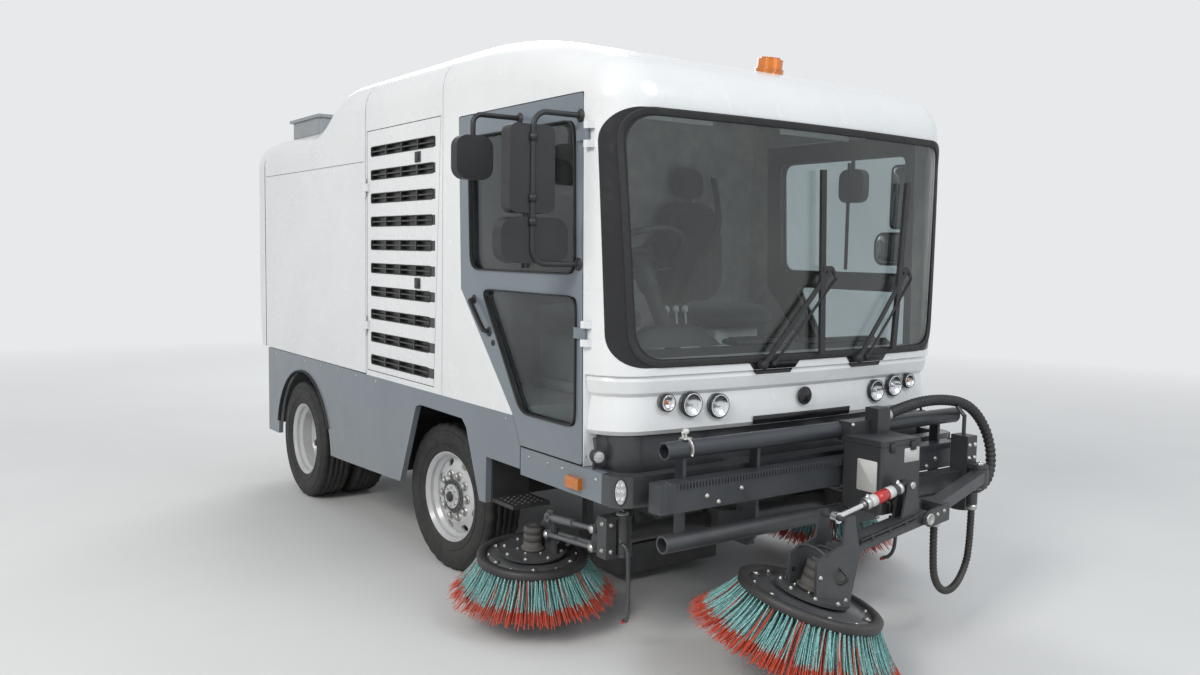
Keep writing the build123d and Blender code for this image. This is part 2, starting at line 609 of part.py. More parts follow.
# Chassis frame with cross-members, posts, tipping hinge and the pivots of the side brushes
CROSS_Y = (-1250.0, -150.0, 700.0, 1150.0, 2470.0)
OUTRIGGERS_Y = (700.0, 1150.0, 2470.0)
SWING_BOSS_R = 40.0
SWING_PIN_R = 16.0
with BuildPart() as chassis_frame:
    for side, sx in SIDES:
        block(sx * RAIL_IN, sx * RAIL_OUT, -1400, FRAME_REAR, RAIL_BOTTOM, RAIL_TOP)
        block(sx * 340, sx * 380, -1660, -1390, 450, 560)
        block(sx * 340, sx * 400, -1300, -1220, RAIL_TOP - 5, FOOTWELL_Z)
        block(sx * 340, sx * 400, -260, -180, RAIL_TOP - 5, SKIRT_TOP)
        block(sx * 340, sx * 400, 920, 1000, RAIL_TOP - 5, SEAM_Z - 0.3)
        for y in OUTRIGGERS_Y:
            block(sx * (RAIL_OUT - 5), sx * (BODY_HALF - SKIRT_T), y - 30, y + 30, 480, 560)
        bar((sx * (SWING_PIN[0]), SWING_PIN[1], 430), (sx * SWING_PIN[0], SWING_PIN[1], 570), SWING_BOSS_R)
        bar((sx * (SWING_PIN[0]), SWING_PIN[1], 405), (sx * SWING_PIN[0], SWING_PIN[1], 595), SWING_PIN_R)
        plate(sx * RAIL_IN, sx * (RAIL_IN + 30), ((2480, RAIL_TOP - 5), (FRAME_REAR - 4, RAIL_TOP - 5),
              (FRAME_REAR - 4, RAIL_TOP + 60), (TIP_PIVOT[0] + 24, TIP_PIVOT[1] - 10), (TIP_PIVOT[0] - 28, TIP_PIVOT[1])))
        bar((sx * RAIL_IN, *TIP_PIVOT), (sx * (RAIL_IN + 30), *TIP_PIVOT), 28)
        bar((sx * RAIL_IN, *TIP_PIVOT), (sx * (RAIL_OUT + 4), *TIP_PIVOT), TIP_PIN_R)
    for y in CROSS_Y:
        block(-RAIL_IN - 5, RAIL_IN + 5, y - 40, y + 40, 460, 560)
    bar((-SWING_PIN[0], SWING_PIN[1], 500), (SWING_PIN[0], SWING_PIN[1], 500), 38)
save(chassis_frame, "chassis_frame")

# Rear bumper, lamps and towing jaw
with BuildPart() as rear_bumper:
    block(-1000, 1000, FRAME_REAR, FRAME_REAR + 60, 420, 620)
    fillet(rear_bumper.edges().filter_by(Axis.Z).group_by(Axis.Y)[-1], 25)
save(rear_bumper, "rear_bumper")

with BuildPart() as rear_lamps:
    for side, sx in SIDES:
        block(sx * 800, sx * 960, FRAME_REAR + 60, FRAME_REAR + 82, 470, 560)
    fillet(rear_lamps.edges().filter_by(Axis.Y), 10)
save(rear_lamps, "rear_lamps")

JAW_PIN_R = 16.0
with BuildPart() as tow_jaw:
    block(-80, 80, FRAME_REAR + 60, FRAME_REAR + 78, 440, 580)
    block(-45, 45, FRAME_REAR + 78, FRAME_REAR + 150, 465, 555)
    block(-46, 46, FRAME_REAR + 95, FRAME_REAR + 151, 488, 532, Mode.SUBTRACT)
    bar((0, FRAME_REAR + 125, 460), (0, FRAME_REAR + 125, 560), JAW_PIN_R, Mode.SUBTRACT)
save(tow_jaw, "tow_jaw")

# Axles: front beam with kingpin eyes, rear tube with spindles, spring pads on both
AXLE_Z = TYRE_R
with BuildPart() as axles:
    beam((-KINGPIN_X, 0, AXLE_Z), (KINGPIN_X, 0, AXLE_Z), 70, 70)
    for side, sx in SIDES:
        bar((sx * KINGPIN_X, 0, AXLE_Z - 60), (sx * KINGPIN_X, 0, AXLE_Z + 60), 40)
        bar((sx * KINGPIN_X, 0, AXLE_Z - 61), (sx * KINGPIN_X, 0, AXLE_Z + 61), KINGPIN_R + RUN_FIT, Mode.SUBTRACT)
        block(sx * RAIL_IN, sx * RAIL_OUT, -60, 60, AXLE_Z + 20, RAIL_BOTTOM)
        block(sx * RAIL_IN, sx * RAIL_OUT, WHEELBASE - 60, WHEELBASE + 60, AXLE_Z + 20, RAIL_BOTTOM)
        bar((sx * 500, WHEELBASE, AXLE_Z), (sx * 760, WHEELBASE, AXLE_Z), SPINDLE_R + 5)
    bar((-560, WHEELBASE, AXLE_Z), (560, WHEELBASE, AXLE_Z), 52)
    with BuildSketch(side_at(-140)):
        with Locations((WHEELBASE, AXLE_Z)):
            Circle(120)
    extrude(amount=280, taper=0)
save(axles, "axles")


def wheel_plane(centre, outward):
    """Plane through an axle: sketch x runs outward along it, sketch y up."""
    return Plane(origin=at(*centre), x_dir=outward, z_dir=Vector(*outward).cross(Vector(0, 0, 1)))


def tyre_ring(centre, outward):
    """Tyre: beads, bulged sidewalls and a gently crowned tread, turned about the axle."""
    inner = RIM_SEAT_R + 0.3
    with BuildSketch(wheel_plane(centre, outward)) as section:
        with BuildLine():
            Line((-76, inner), (76, inner))
            for s in (1, -1):
                Line((s * 76, inner), (s * 79, RIM_FLANGE_R + 8))
                ThreePointArc((s * 79, RIM_FLANGE_R + 8), (s * TYRE_HALF_W, 302), (s * 90, 360))
                ThreePointArc((s * 90, 360), (s * 86, 370), (s * 76, 375))
            ThreePointArc((-76, 375), (0, TYRE_R), (76, 375))
        make_face()
    revolve(section.sketch, axis=Axis(at(*centre), outward))


def rim_ring(centre, outward, disc_at, disc_lip):
    """Wheel rim: barrel with flanges, and the dished disc with its hand holes."""
    with BuildSketch(wheel_plane(centre, outward)) as section:
        with BuildLine():
            Polyline((-RIM_HALF_W, 228), (-RIM_HALF_W, RIM_FLANGE_R), (-80, RIM_FLANGE_R), (-79, RIM_SEAT_R),
                     (-50, RIM_SEAT_R - 2), (-36, 206), (30, 206), (50, RIM_SEAT_R - 2), (79, RIM_SEAT_R),
                     (80, RIM_FLANGE_R), (RIM_HALF_W, RIM_FLANGE_R), (RIM_HALF_W, 228), (70, 214), (52, 212),
                     (34, 196), (-40, 196), (-54, 212), (-70, 214), close=True)
        make_face()
        with BuildLine():
            Polyline((disc_at - 12, 60), (disc_at, 60), (disc_at, 140), (disc_at + (disc_lip - disc_at) * 0.35, 162),
                     (disc_lip + 6, 198), (disc_lip - 6, 198), (disc_at - 12 + (disc_lip - disc_at) * 0.35, 158),
                     (disc_at - 12, 138), close=True)
        make_face()
    revolve(section.sketch, axis=Axis(at(*centre), outward))
    with BuildSketch(Plane(origin=at(*centre), z_dir=outward)) as holes:
        with PolarLocations(174, HAND_HOLES, start_angle=180 / HAND_HOLES):
            SlotOverall(52, 34, rotation=90)
    extrude(holes.sketch, amount=RIM_HALF_W + 42, both=True, mode=Mode.SUBTRACT)


def outward_at(sx, angle):
    """Unit direction out along an axle steered to the left by an angle."""
    return (sx * cos(radians(angle)), sx * sin(radians(angle)), 0.0)


def out_point(start, outward, distance):
    """A point at a distance out along an axle."""
    return tuple(a + distance * b for a, b in zip(start, outward))


# Front wheels on their knuckles, at rest turned a little to the left
SPINDLE_OUT = FRONT_TRACK_HALF - KINGPIN_X
for side, sx in SIDES:
    outward = outward_at(sx, REST_STEER)
    kingpin = (sx * KINGPIN_X, 0.0, AXLE_Z)
    hub_centre = out_point(kingpin, outward, SPINDLE_OUT)

    with BuildPart() as knuckle:
        kx = sx * KINGPIN_X
        bar((kx, 0, AXLE_Z - 92), (kx, 0, AXLE_Z + 92), KINGPIN_R)
        for low, high in ((AXLE_Z - 92, AXLE_Z - 60.5), (AXLE_Z + 60.5, AXLE_Z + 92)):
            bar((kx, 0, low), (kx, 0, high), 36)
        for rise in (-76.0, 76.0):
            start = (kx, 0, AXLE_Z + rise)
            beam(start, out_point(start, outward, 56), 56, 31)
        beam(out_point(kingpin, outward, 44), out_point(kingpin, outward, 58), 70, 184)
        bar(out_point(kingpin, outward, 50), out_point(kingpin, outward, SPINDLE_OUT + 50), SPINDLE_R)
    save(knuckle, f"knuckle_{side}")

    with BuildPart() as tyre:
        tyre_ring(hub_centre, outward)
    save(tyre, f"front_tyre_{side}")

    with BuildPart() as rim:
        rim_ring(hub_centre, outward, 52, 20)
        bar(out_point(hub_centre, outward, -80), out_point(hub_centre, outward, 62), 85)
        bar(out_point(hub_centre, outward, 60), out_point(hub_centre, outward, 76), 62)
        bar(out_point(hub_centre, outward, 74), out_point(hub_centre, outward, 84), 26)
        bar(out_point(hub_centre, outward, -81), out_point(hub_centre, outward, 51), SPINDLE_R + RUN_FIT,
            Mode.SUBTRACT)
    save(rim, f"front_rim_{side}")

# Rear twin wheels
TWIN_MID = (REAR_OUTER + REAR_INNER) / 2
OUTER_LIP = -30.0
INNER_LIP = 24.0
for side, sx in SIDES:
    outward = outward_at(sx, 0)
    centres = [(sx * x, WHEELBASE, AXLE_Z) for x in (REAR_OUTER, REAR_INNER)]

    with BuildPart() as tyre:
        for centre in centres:
            tyre_ring(centre, outward)
    save(tyre, f"rear_tyres_{side}")

    with BuildPart() as rim:
        rim_ring(centres[0], outward, TWIN_MID + 12 - REAR_OUTER, OUTER_LIP)
        rim_ring(centres[1], outward, TWIN_MID - REAR_INNER, INNER_LIP)
        bar((sx * 585, WHEELBASE, AXLE_Z), (sx * (TWIN_MID + 5), WHEELBASE, AXLE_Z), 95)
        bar((sx * (TWIN_MID + 5), WHEELBASE, AXLE_Z), (sx * (TWIN_MID + 90), WHEELBASE, AXLE_Z), 72)
        bar((sx * (TWIN_MID + 88), WHEELBASE, AXLE_Z), (sx * (TWIN_MID + 96), WHEELBASE, AXLE_Z), 60)
        bar((sx * 584, WHEELBASE, AXLE_Z), (sx * 761, WHEELBASE, AXLE_Z), SPINDLE_R + 5 + RUN_FIT, Mode.SUBTRACT)
        bar((sx * 584, WHEELBASE, AXLE_Z), (sx * 600, WHEELBASE, AXLE_Z), 60, Mode.SUBTRACT)
    save(rim, f"rear_rims_{side}")

# Engine and suction nozzle
with BuildPart() as engine_block:
    block(-RAIL_OUT, RAIL_OUT, -60, 640, RAIL_TOP, 1280)
    fillet(engine_block.edges().filter_by(Axis.Z), 40)
save(engine_block, "engine_block")

with BuildPart() as suction_nozzle:
    block(-320, 320, -700, -340, 45, 190)
    block(-300, 300, -680, -360, 44, 170, Mode.SUBTRACT)
    bar((0, -500, 180), (0, -420, 340), 90)
    bar((0, -500, 180), (0, -420, 341), 82, Mode.SUBTRACT)
    for side, sx in SIDES:
        block(sx * 290, sx * 385, -500, -460, 150, 190)
        block(sx * 345, sx * 385, -500, -460, 150, RAIL_BOTTOM)
save(suction_nozzle, "suction_nozzle")

# Cab interior
WHEEL_CENTRE = (-450.0, -960.0, 1640.0)
WHEEL_RING_R = 215.0
COLUMN_FOOT = (-450.0, -1290.0, 1150.0)
with BuildPart() as driver_controls:
    with BuildSketch(side_at(-900)):
        with BuildLine():
            Polyline((-1348, 842), (-1348, 1205), (-1290, 1240), (-1180, 1180), (-1200, 980), (-1290, 842), close=True)
        make_face()
    extrude(amount=1800)
    bar(COLUMN_FOOT, WHEEL_CENTRE, 34)
    ring_plane = along(WHEEL_CENTRE, tuple(2 * a - b for a, b in zip(WHEEL_CENTRE, COLUMN_FOOT)))
    with BuildSketch(Plane(origin=ring_plane.origin, x_dir=ring_plane.x_dir, z_dir=ring_plane.y_dir)) as grip:
        with Locations((WHEEL_RING_R, 0)):
            Circle(14)
    revolve(grip.sketch, axis=Axis(ring_plane.origin, ring_plane.z_dir))
    with BuildSketch(ring_plane.offset(-8)) as spokes:
        for turn in (90, 210, 330):
            with Locations(Rot(0, 0, turn)):
                with Locations((WHEEL_RING_R / 2, 0)):
                    Rectangle(WHEEL_RING_R, 34)
        Circle(60)
    extrude(spokes.sketch, amount=12)
save(driver_controls, "driver_controls")

with BuildPart() as cab_seats:
    for side, sx in SIDES:
        block(sx * 270, sx * 610, -700, -300, SKIRT_TOP + WALL, 1250)
        block(sx * 200, sx * 680, -800, -290, 1250, 1390)
        plate(sx * 200, sx * 680, ((-340, 1380), (-250, 1380), (-200, 1950), (-290, 1950)))
        block(sx * 330, sx * 550, -285, -210, 1940, 2130)
save(cab_seats, "cab_seats")

BEACON = (480.0, -820.0)


def dome_plane(x, y):
    """Plane resting on the domed front of the cab roof."""
    run = CAB_FRONT - 45 - DOME_START
    fall = ROOF_Z - DOME_END_Z
    radius = (run**2 + fall**2) / (2 * fall)
    ahead = DOME_START - y
    rise = sqrt(radius**2 - ahead**2)
    return Plane(origin=at(x, y, ROOF_Z - radius + rise), x_dir=(1, 0, 0), z_dir=(0, -ahead, rise))


# Wipers, amber lamps and work lamps
with BuildPart() as wipers:
    for pivot_x, tip_x, tip_z, low, high in (
            (-280, 100, 1595, (60, 1225), (30, 2015)), (310, 640, 1590, (560, 1225), (620, 1990))):
        face = nose_y(pivot_x)
        rise = nose_y(tip_x) - 30
        bar((pivot_x, face - 0.9, 1192), (pivot_x, face - 34, 1192), 18)
        beam((pivot_x, face - 26, 1192), (tip_x, rise, tip_z), 8, 22)
        beam((tip_x, rise, tip_z), ((low[0] + high[0]) / 2, rise + 2, tip_z), 16, 22)
        beam((low[0], nose_y(low[0]) - 26, low[1]), (high[0], nose_y(high[0]) - 26, high[1]), 14, 30)
save(wipers, "wipers")

with BuildPart() as amber_lamps:
    for low, high, radius in ((0.3, 30, 74), (29, 78, 66), (77, 88, 50)):
        with BuildSketch(dome_plane(*BEACON).offset(low)) as ring:
            Circle(radius)
        extrude(ring.sketch, amount=high - low)
    for side, sx in SIDES:
        block(sx * BODY_HALF, sx * (BODY_HALF + 22), -1388, -1296, 706, 752)
save(amber_lamps, "amber_lamps")

# Brush rails across the front
with BuildPart() as brush_rails:
    for tube_z in (UPPER_TUBE_Z, LOWER_TUBE_Z):
        bar((-RAIL_HALF, RAIL_TUBE_Y, tube_z), (RAIL_HALF, RAIL_TUBE_Y, tube_z), RAIL_TUBE_R)
    block(-930, 930, *BOX_BEAM)
    for side, sx in SIDES:
        plate(sx * 380, sx * 396, ((-1500, 460), (-1500, 560), (-1650, 600), (-1674, 670), (-1674, 930), (-1722, 930),
              (-1722, 510), (-1680, 460)))
        plate(sx * 772, sx * 788, ((-1674, 520), (-1674, 930), (-1722, 930), (-1722, 520)))
    for tube_z in (UPPER_TUBE_Z, LOWER_TUBE_Z):
        bar((-RAIL_HALF - 1, RAIL_TUBE_Y, tube_z), (RAIL_HALF + 1, RAIL_TUBE_Y, tube_z), RAIL_TUBE_R - 8,
            Mode.SUBTRACT)
    bar((950, -1745, 450), (950, -1745, 700), 55)
    block(880, 960, -1740, -1700, 560, 600)
save(brush_rails, "brush_rails")


def brush_frame(centre, normal):
    """Plane on the top face of a brush disc, its normal along the spindle."""
    return Plane(origin=at(*centre), z_dir=normal)


def brush_solid(centre, normal, disc_r, tip_r, drop):
    """Disc with its rim and a ring of stiff tufts, widening to their tips."""
    top = brush_frame(centre, normal)
    with BuildSketch(top.offset(-DISC_T)) as disc:
        Circle(disc_r)
    extrude(disc.sketch, amount=DISC_T)
    with BuildSketch(top.offset(-DISC_T - 14)) as rim:
        Circle(disc_r)
        Circle(disc_r - 60, mode=Mode.SUBTRACT)
    extrude(rim.sketch, amount=14.5)
    root_r = disc_r - 30
    root_d = DISC_T + 8
    tufts = []
    for i in range(TUFTS):
        turn = 2 * pi * i / TUFTS
        root = top.from_local_coords(Vector(root_r * cos(turn), root_r * sin(turn), -root_d))
        tip = top.from_local_coords(Vector(tip_r * cos(turn), tip_r * sin(turn), -drop))
        tangent = top.from_local_coords(Vector(-sin(turn), cos(turn), 0)) - top.origin
        with BuildSketch(Plane(origin=root, x_dir=tangent, z_dir=tip - root)) as low:
            Rectangle(0.8 * 2 * pi * root_r / TUFTS, 22)
        with BuildSketch(Plane(origin=tip, x_dir=tangent, z_dir=tip - root)) as high:
            Rectangle(0.72 * 2 * pi * tip_r / TUFTS, 30)
        tufts.append(Solid.make_loft([low.sketch.faces()[0].outer_wire(), high.sketch.faces()[0].outer_wire()], True))
    add(tufts)


# Side brushes: carrier on the swing pin, lift arms and link, head and brush
LIFT_X = 900.0
LOW_FRONT = (-1320.0, 440.0)
LOW_REAR = (-975.0, 412.0)
UP_FRONT = (-1330.0, 520.0)
UP_REAR = (-985.0, 492.0)
ARM_PIN_R = 10.0
ARM_R = 10.5
EYE_R = 20.0
for side, sx in SIDES:
    normal = (sx * 0.05, -0.08, 0.9955)
    centre = (sx * SIDE_BRUSH[0], SIDE_BRUSH[1], SIDE_BRUSH[2])
    pin = (sx * SWING_PIN[0], SWING_PIN[1])

    with BuildPart() as carrier:
        for low, high in ((571, 585), (415, 429)):
            bar((*pin, low), (*pin, high), 42)
            block(pin[0] - sx * 20, sx * 930, -1425, -1362, low, high)
        block(sx * 880, sx * 930, -1425, -1362, 415, 585)
        for low, high in ((570, 586), (414, 430)):
            bar((*pin, low), (*pin, high), SWING_PIN_R + RUN_FIT, Mode.SUBTRACT)
        plate(sx * 893, sx * 907, ((-1366, 415), (-1366, 585), (-1325, 560), (-1290, 470), (-1290, 415)))
        for y, z in (LOW_FRONT, UP_FRONT):
            bar((sx * 862, y, z), (sx * 938, y, z), ARM_PIN_R)
    save(carrier, f"brush_carrier_{side}")

    with BuildPart() as arms:
        for x0, x1 in ((866, 890), (910, 934)):
            for y, z in (LOW_FRONT, LOW_REAR):
                bar((sx * x0, y, z), (sx * x1, y, z), EYE_R)
            middle = sx * (x0 + x1) / 2
            bar((middle, *LOW_FRONT), (middle, *LOW_REAR), ARM_R)
        bar((sx * 870, -1150, 426), (sx * 930, -1150, 426), 11)
        for y, z in (LOW_FRONT, LOW_REAR):
            bar((sx * 865, y, z), (sx * 935, y, z), ARM_PIN_R + RUN_FIT, Mode.SUBTRACT)
    save(arms, f"brush_arms_{side}")

    with BuildPart() as link:
        for y, z in (UP_FRONT, UP_REAR):
            bar((sx * 910, y, z), (sx * 934, y, z), EYE_R)
        bar((sx * 922, *UP_FRONT), (sx * 922, *UP_REAR), ARM_R)
        mid_y = (UP_FRONT[0] + UP_REAR[0]) / 2
        bar((sx * 922, mid_y - 20, 507.6), (sx * 922, UP_REAR[0] - 40, 495.2), 17)
        for y, z in (UP_FRONT, UP_REAR):
            bar((sx * 909, y, z), (sx * 935, y, z), ARM_PIN_R + RUN_FIT, Mode.SUBTRACT)
    save(link, f"brush_link_{side}")

    top = brush_frame(centre, normal)
    with BuildPart() as head:
        with BuildSketch(top.offset(5)) as base:
            Circle(150)
        extrude(base.sketch, amount=10)
        with BuildSketch(top.offset(5)) as motor:
            Circle(38)
        extrude(motor.sketch, amount=120)
        plate(sx * 893, sx * 907, ((-1012, 324), (-862, 336), (-880, 420), (-955, 518), (-1000, 522), (-1008, 400)))
        for (y, z), span in ((LOW_REAR, (862, 938)), (UP_REAR, (895, 938))):
            bar((sx * span[0], y, z), (sx * span[1], y, z), ARM_PIN_R)
        with BuildSketch(top.offset(-DISC_T)) as spindle:
            Circle(15)
        extrude(spindle.sketch, amount=DISC_T + 10)
    save(head, f"brush_head_{side}")

    with BuildPart() as brush:
        brush_solid(centre, normal, SIDE_DISC_R, SIDE_TIP_R, SIDE_DROP)
        with BuildSketch(top.offset(-DISC_T - 1)) as bore:
            Circle(15 + RUN_FIT)
        extrude(bore.sketch, amount=DISC_T + 2, mode=Mode.SUBTRACT)
    save(brush, f"side_brush_{side}")

# Hoses as routes of (across, along, up) points: the upper one clipped to the carriage, the lower one a hanging loop
UPPER_HOSE = ((280, -1800, 958), (450, -1798, 998), (680, -1796, 1006), (885, -1798, 970), (1010, -1806, 862),
              (1052, -1826, 730), (1004, -1852, 612), (900, -1862, 570), (815, -1862, 571))
UPPER_HOSE_R = 26.0
LOOP_START = (318.0, -2055.0)
LOOP_END = (703.0, -1968.0)
LOOP_TOP_Z = 550.0
LOOP_MID_Z = 400.0
LOOP_TURNS = 6
LOWER_HOSE_R = 17.0
SOCKET_TOP_Z = 606.0
RUN_SHARE = 0.45


def loop_route():
    """Two upright legs joined by a half circle of equal turns, seen square to the loop."""
    half = Vector(LOOP_END[0] - LOOP_START[0], LOOP_END[1] - LOOP_START[1]).length / 2
    reach = half / cos(pi / (2 * LOOP_TURNS))
    route = [(*LOOP_START, LOOP_TOP_Z)]
    for i in range(LOOP_TURNS):
        turn = pi * (i + 0.5) / LOOP_TURNS
        share = (1 - reach * cos(turn) / half) / 2
        x = LOOP_START[0] + share * (LOOP_END[0] - LOOP_START[0])
        y = LOOP_START[1] + share * (LOOP_END[1] - LOOP_START[1])
        route.append((x, y, LOOP_MID_Z - reach * sin(turn)))
    return route + [(*LOOP_END, LOOP_TOP_Z)]


LOWER_HOSE = loop_route()


def hose_radii(route):
    """Arc radius at each inner point: a share of the shorter run over the tangent of half the turn."""
    radii = []
    for before, here, after in zip(route, route[1:], route[2:]):
        come = Vector(*here) - Vector(*before)
        go = Vector(*after) - Vector(*here)
        half_turn = radians(come.get_angle(go)) / 2
        radii.append(RUN_SHARE * min(come.length, go.length) / tan(half_turn))
    return radii


def hose(route, radius, mode=Mode.ADD):
    """Tube along straight runs joined by tangent arcs, in the part being built."""
    radii = hose_radii(route)
    with BuildLine() as line:
        FilletPolyline(*[at(*point) for point in route], radius=radii)
    with BuildSketch(Plane(origin=line.line @ 0, z_dir=line.line % 0)) as section:
        Circle(radius)
    sweep(section.sketch, path=line.line, mode=mode)
    length = sum(edge.length for edge in line.line.edges())
    print("hose radii", [round(r) for r in radii], "length", round(length))
    print("route", [tuple(round(a, 1) for a in point) for point in route])


with BuildPart() as hose_upper:
    hose(UPPER_HOSE, UPPER_HOSE_R)
save(hose_upper, "hose_upper")

with BuildPart() as hose_lower:
    hose(LOWER_HOSE, LOWER_HOSE_R)
save(hose_lower, "hose_lower")

# Front brush: carriage on the rails, swing arm, forearm, head, tilt cylinder and brush
BOX = (50.0, 300.0, -1990.0, -1775.0, 590.0, 890.0)
with BuildPart() as boom_carriage:
    block(*BOX)
    fillet(boom_carriage.edges().filter_by(Axis.Z), 14)
    for tube_z in (UPPER_TUBE_Z, LOWER_TUBE_Z):
        block(70, 280, -1800, -1732, tube_z - 42, tube_z + 42)
        bar((60, RAIL_TUBE_Y, tube_z), (290, RAIL_TUBE_Y, tube_z), RAIL_TUBE_R + 0.3, Mode.SUBTRACT)
    block(110, 240, -1800, -1780, 505, 900)
    block(290, 770, -1880, -1800, 600, 680)
    block(745, 815, -1905, -1815, 500, 840)
    for low, high in ((612, 630), (700, 718)):
        block(745, 815, MAST[1], -1890, low, high)
        bar((*MAST, low), (*MAST, high), 35)
    bar((*MAST, 612), (*MAST, 718), 18)
    block(200, 280, -1835, -1765, 885, 1000)
    bar((790, -1850, 835), (790, -1850, 930), 9)
    bar((790, -1850, 925), (790, -1797, 975), 9)
    hose(UPPER_HOSE, UPPER_HOSE_R + 0.3, Mode.SUBTRACT)
save(boom_carriage, "boom_carriage")

with BuildPart() as swing_arm:
    bar((*MAST, 632), (*MAST, 698), 38)
    beam((MAST[0] - 10, MAST[1] - 4, 665), (300, ELBOW[1] + 6, 597), 60, 52)
    for low, high in ((-57, -43), (43, 57)):
        with BuildSketch(front_at(ELBOW[1] + high)) as cheek:
            with BuildLine():
                Polyline((340, 560), (340, 632), (215, 612), (185, 590), (185, 562), (215, 545), close=True)
            make_face()
        extrude(cheek.sketch, amount=14)
    block(296, 340, ELBOW[1] - 57, ELBOW[1] + 57, 562, 630)
    bar((ELBOW[0], ELBOW[1] - 57, ELBOW[2]), (ELBOW[0], ELBOW[1] + 57, ELBOW[2]), 16)
    bar((*MAST, 631), (*MAST, 699), 18 + RUN_FIT, Mode.SUBTRACT)
    for x, y, z in (LOWER_HOSE[0], LOWER_HOSE[-1]):
        bar((x, y, z), (x, y, SOCKET_TOP_Z), LOWER_HOSE_R + 7)
save(swing_arm, "swing_arm")

with BuildPart() as forearm:
    bar((ELBOW[0], ELBOW[1] - 38, ELBOW[2]), (ELBOW[0], ELBOW[1] + 38, ELBOW[2]), 30)
    beam((ELBOW[0] - 10, ELBOW[1], ELBOW[2] - 1), (HEAD_PIVOT[0] + 20, HEAD_PIVOT[1], HEAD_PIVOT[2] + 3), 64, 56)
    bar((HEAD_PIVOT[0], HEAD_PIVOT[1] - 32, HEAD_PIVOT[2]), (HEAD_PIVOT[0], HEAD_PIVOT[1] + 32, HEAD_PIVOT[2]), 26)
    for shift in (-26, 16):
        with BuildSketch(front_at(TILT_ROOT[1] + shift + 10)) as lug:
            with BuildLine():
                Polyline((70, 580), (190, 590), (155, 742), (105, 742), close=True)
            make_face()
        extrude(lug.sketch, amount=10)
    bar((TILT_ROOT[0], TILT_ROOT[1] - 26, TILT_ROOT[2]), (TILT_ROOT[0], TILT_ROOT[1] + 26, TILT_ROOT[2]), 10)
    for (x, y, z), radius in ((ELBOW, 16), (HEAD_PIVOT, 14)):
        bar((x, y - 40, z), (x, y + 40, z), radius + RUN_FIT, Mode.SUBTRACT)
save(forearm, "forearm")

FRONT_NORMAL = (0.225, -0.159, 0.961)
front_top = brush_frame(FRONT_BRUSH, FRONT_NORMAL)


def front_disc_z(x, y, lift):
    """Height of the plane at a lift above the front disc's top face."""
    nx, ny, nz = FRONT_NORMAL
    return FRONT_BRUSH[2] + (lift - nx * (x - FRONT_BRUSH[0]) - ny * (y - FRONT_BRUSH[1])) / nz


with BuildPart() as front_head:
    with BuildSketch(front_top.offset(5)) as base:
        Circle(150)
    extrude(base.sketch, amount=14)
    with BuildSketch(front_top.offset(5)) as motor:
        Circle(50)
    extrude(motor.sketch, amount=130)
    for y in (HEAD_PIVOT[1] - 74, HEAD_PIVOT[1] + 62):
        with BuildSketch(front_at(y + 12)) as cheek:
            with BuildLine():
                Polyline((-470, front_disc_z(-470, y + 6, 12)), (-280, front_disc_z(-280, y + 6, 12)), (-235, 500),
                         (-240, 540), (-268, 665), (-312, 665), (-330, 560), (-470, 520), close=True)
            make_face()
        extrude(cheek.sketch, amount=12)
    for (x, y, z), radius in ((HEAD_PIVOT, 14), (TILT_EYE, 10)):
        bar((x, y - 74, z), (x, y + 74, z), radius)
    with BuildSketch(front_top.offset(-DISC_T)) as spindle:
        Circle(15)
    extrude(spindle.sketch, amount=DISC_T + 10)
save(front_head, "front_head")

with BuildPart() as front_brush:
    brush_solid(FRONT_BRUSH, FRONT_NORMAL, FRONT_DISC_R, FRONT_TIP_R, FRONT_DROP)
    with BuildSketch(front_top.offset(-DISC_T - 1)) as bore:
        Circle(15 + RUN_FIT)
    extrude(bore.sketch, amount=DISC_T + 2, mode=Mode.SUBTRACT)
save(front_brush, "front_brush")

cylinder_run = Vector(*TILT_EYE) - Vector(*TILT_ROOT)
cylinder_dir = cylinder_run.normalized()


def on_cylinder(distance):
    """Vehicle point at a distance from the tilt cylinder's root pin towards its rod's eye."""
    return tuple(a + distance * b for a, b in zip(TILT_ROOT, cylinder_dir))


with BuildPart() as tilt_cylinder:
    bar((TILT_ROOT[0], TILT_ROOT[1] - 14, TILT_ROOT[2]), (TILT_ROOT[0], TILT_ROOT[1] + 14, TILT_ROOT[2]), 20)
    bar(on_cylinder(10), on_cylinder(52), 13)
    bar(on_cylinder(48), on_cylinder(270), 24)
    bar((TILT_ROOT[0], TILT_ROOT[1] - 15, TILT_ROOT[2]), (TILT_ROOT[0], TILT_ROOT[1] + 15, TILT_ROOT[2]),
        10 + RUN_FIT, Mode.SUBTRACT)
    bar(on_cylinder(60), on_cylinder(271), 11 + RUN_FIT, Mode.SUBTRACT)
save(tilt_cylinder, "tilt_cylinder")

with BuildPart() as tilt_rod:
    bar((TILT_EYE[0], TILT_EYE[1] - 14, TILT_EYE[2]), (TILT_EYE[0], TILT_EYE[1] + 14, TILT_EYE[2]), 22)
    bar(on_cylinder(120), on_cylinder(cylinder_run.length - 12), 11)
    bar((TILT_EYE[0], TILT_EYE[1] - 15, TILT_EYE[2]), (TILT_EYE[0], TILT_EYE[1] + 15, TILT_EYE[2]), 13,
        Mode.SUBTRACT)
save(tilt_rod, "tilt_rod")
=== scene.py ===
"""Looks of the compact road sweeper, laid out as an add-on.

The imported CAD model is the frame. Each operator dresses one group of it, and main() calls them in order.
Points are (across, along, up) in millimetres from the vehicle's centre plane, front axle and the ground, as in
the CAD source, and place() turns them into the row frame in metres.
"""
from math import cos, pi, radians, sin, sqrt

import bpy
import numpy as np
from mathutils import Matrix, Vector


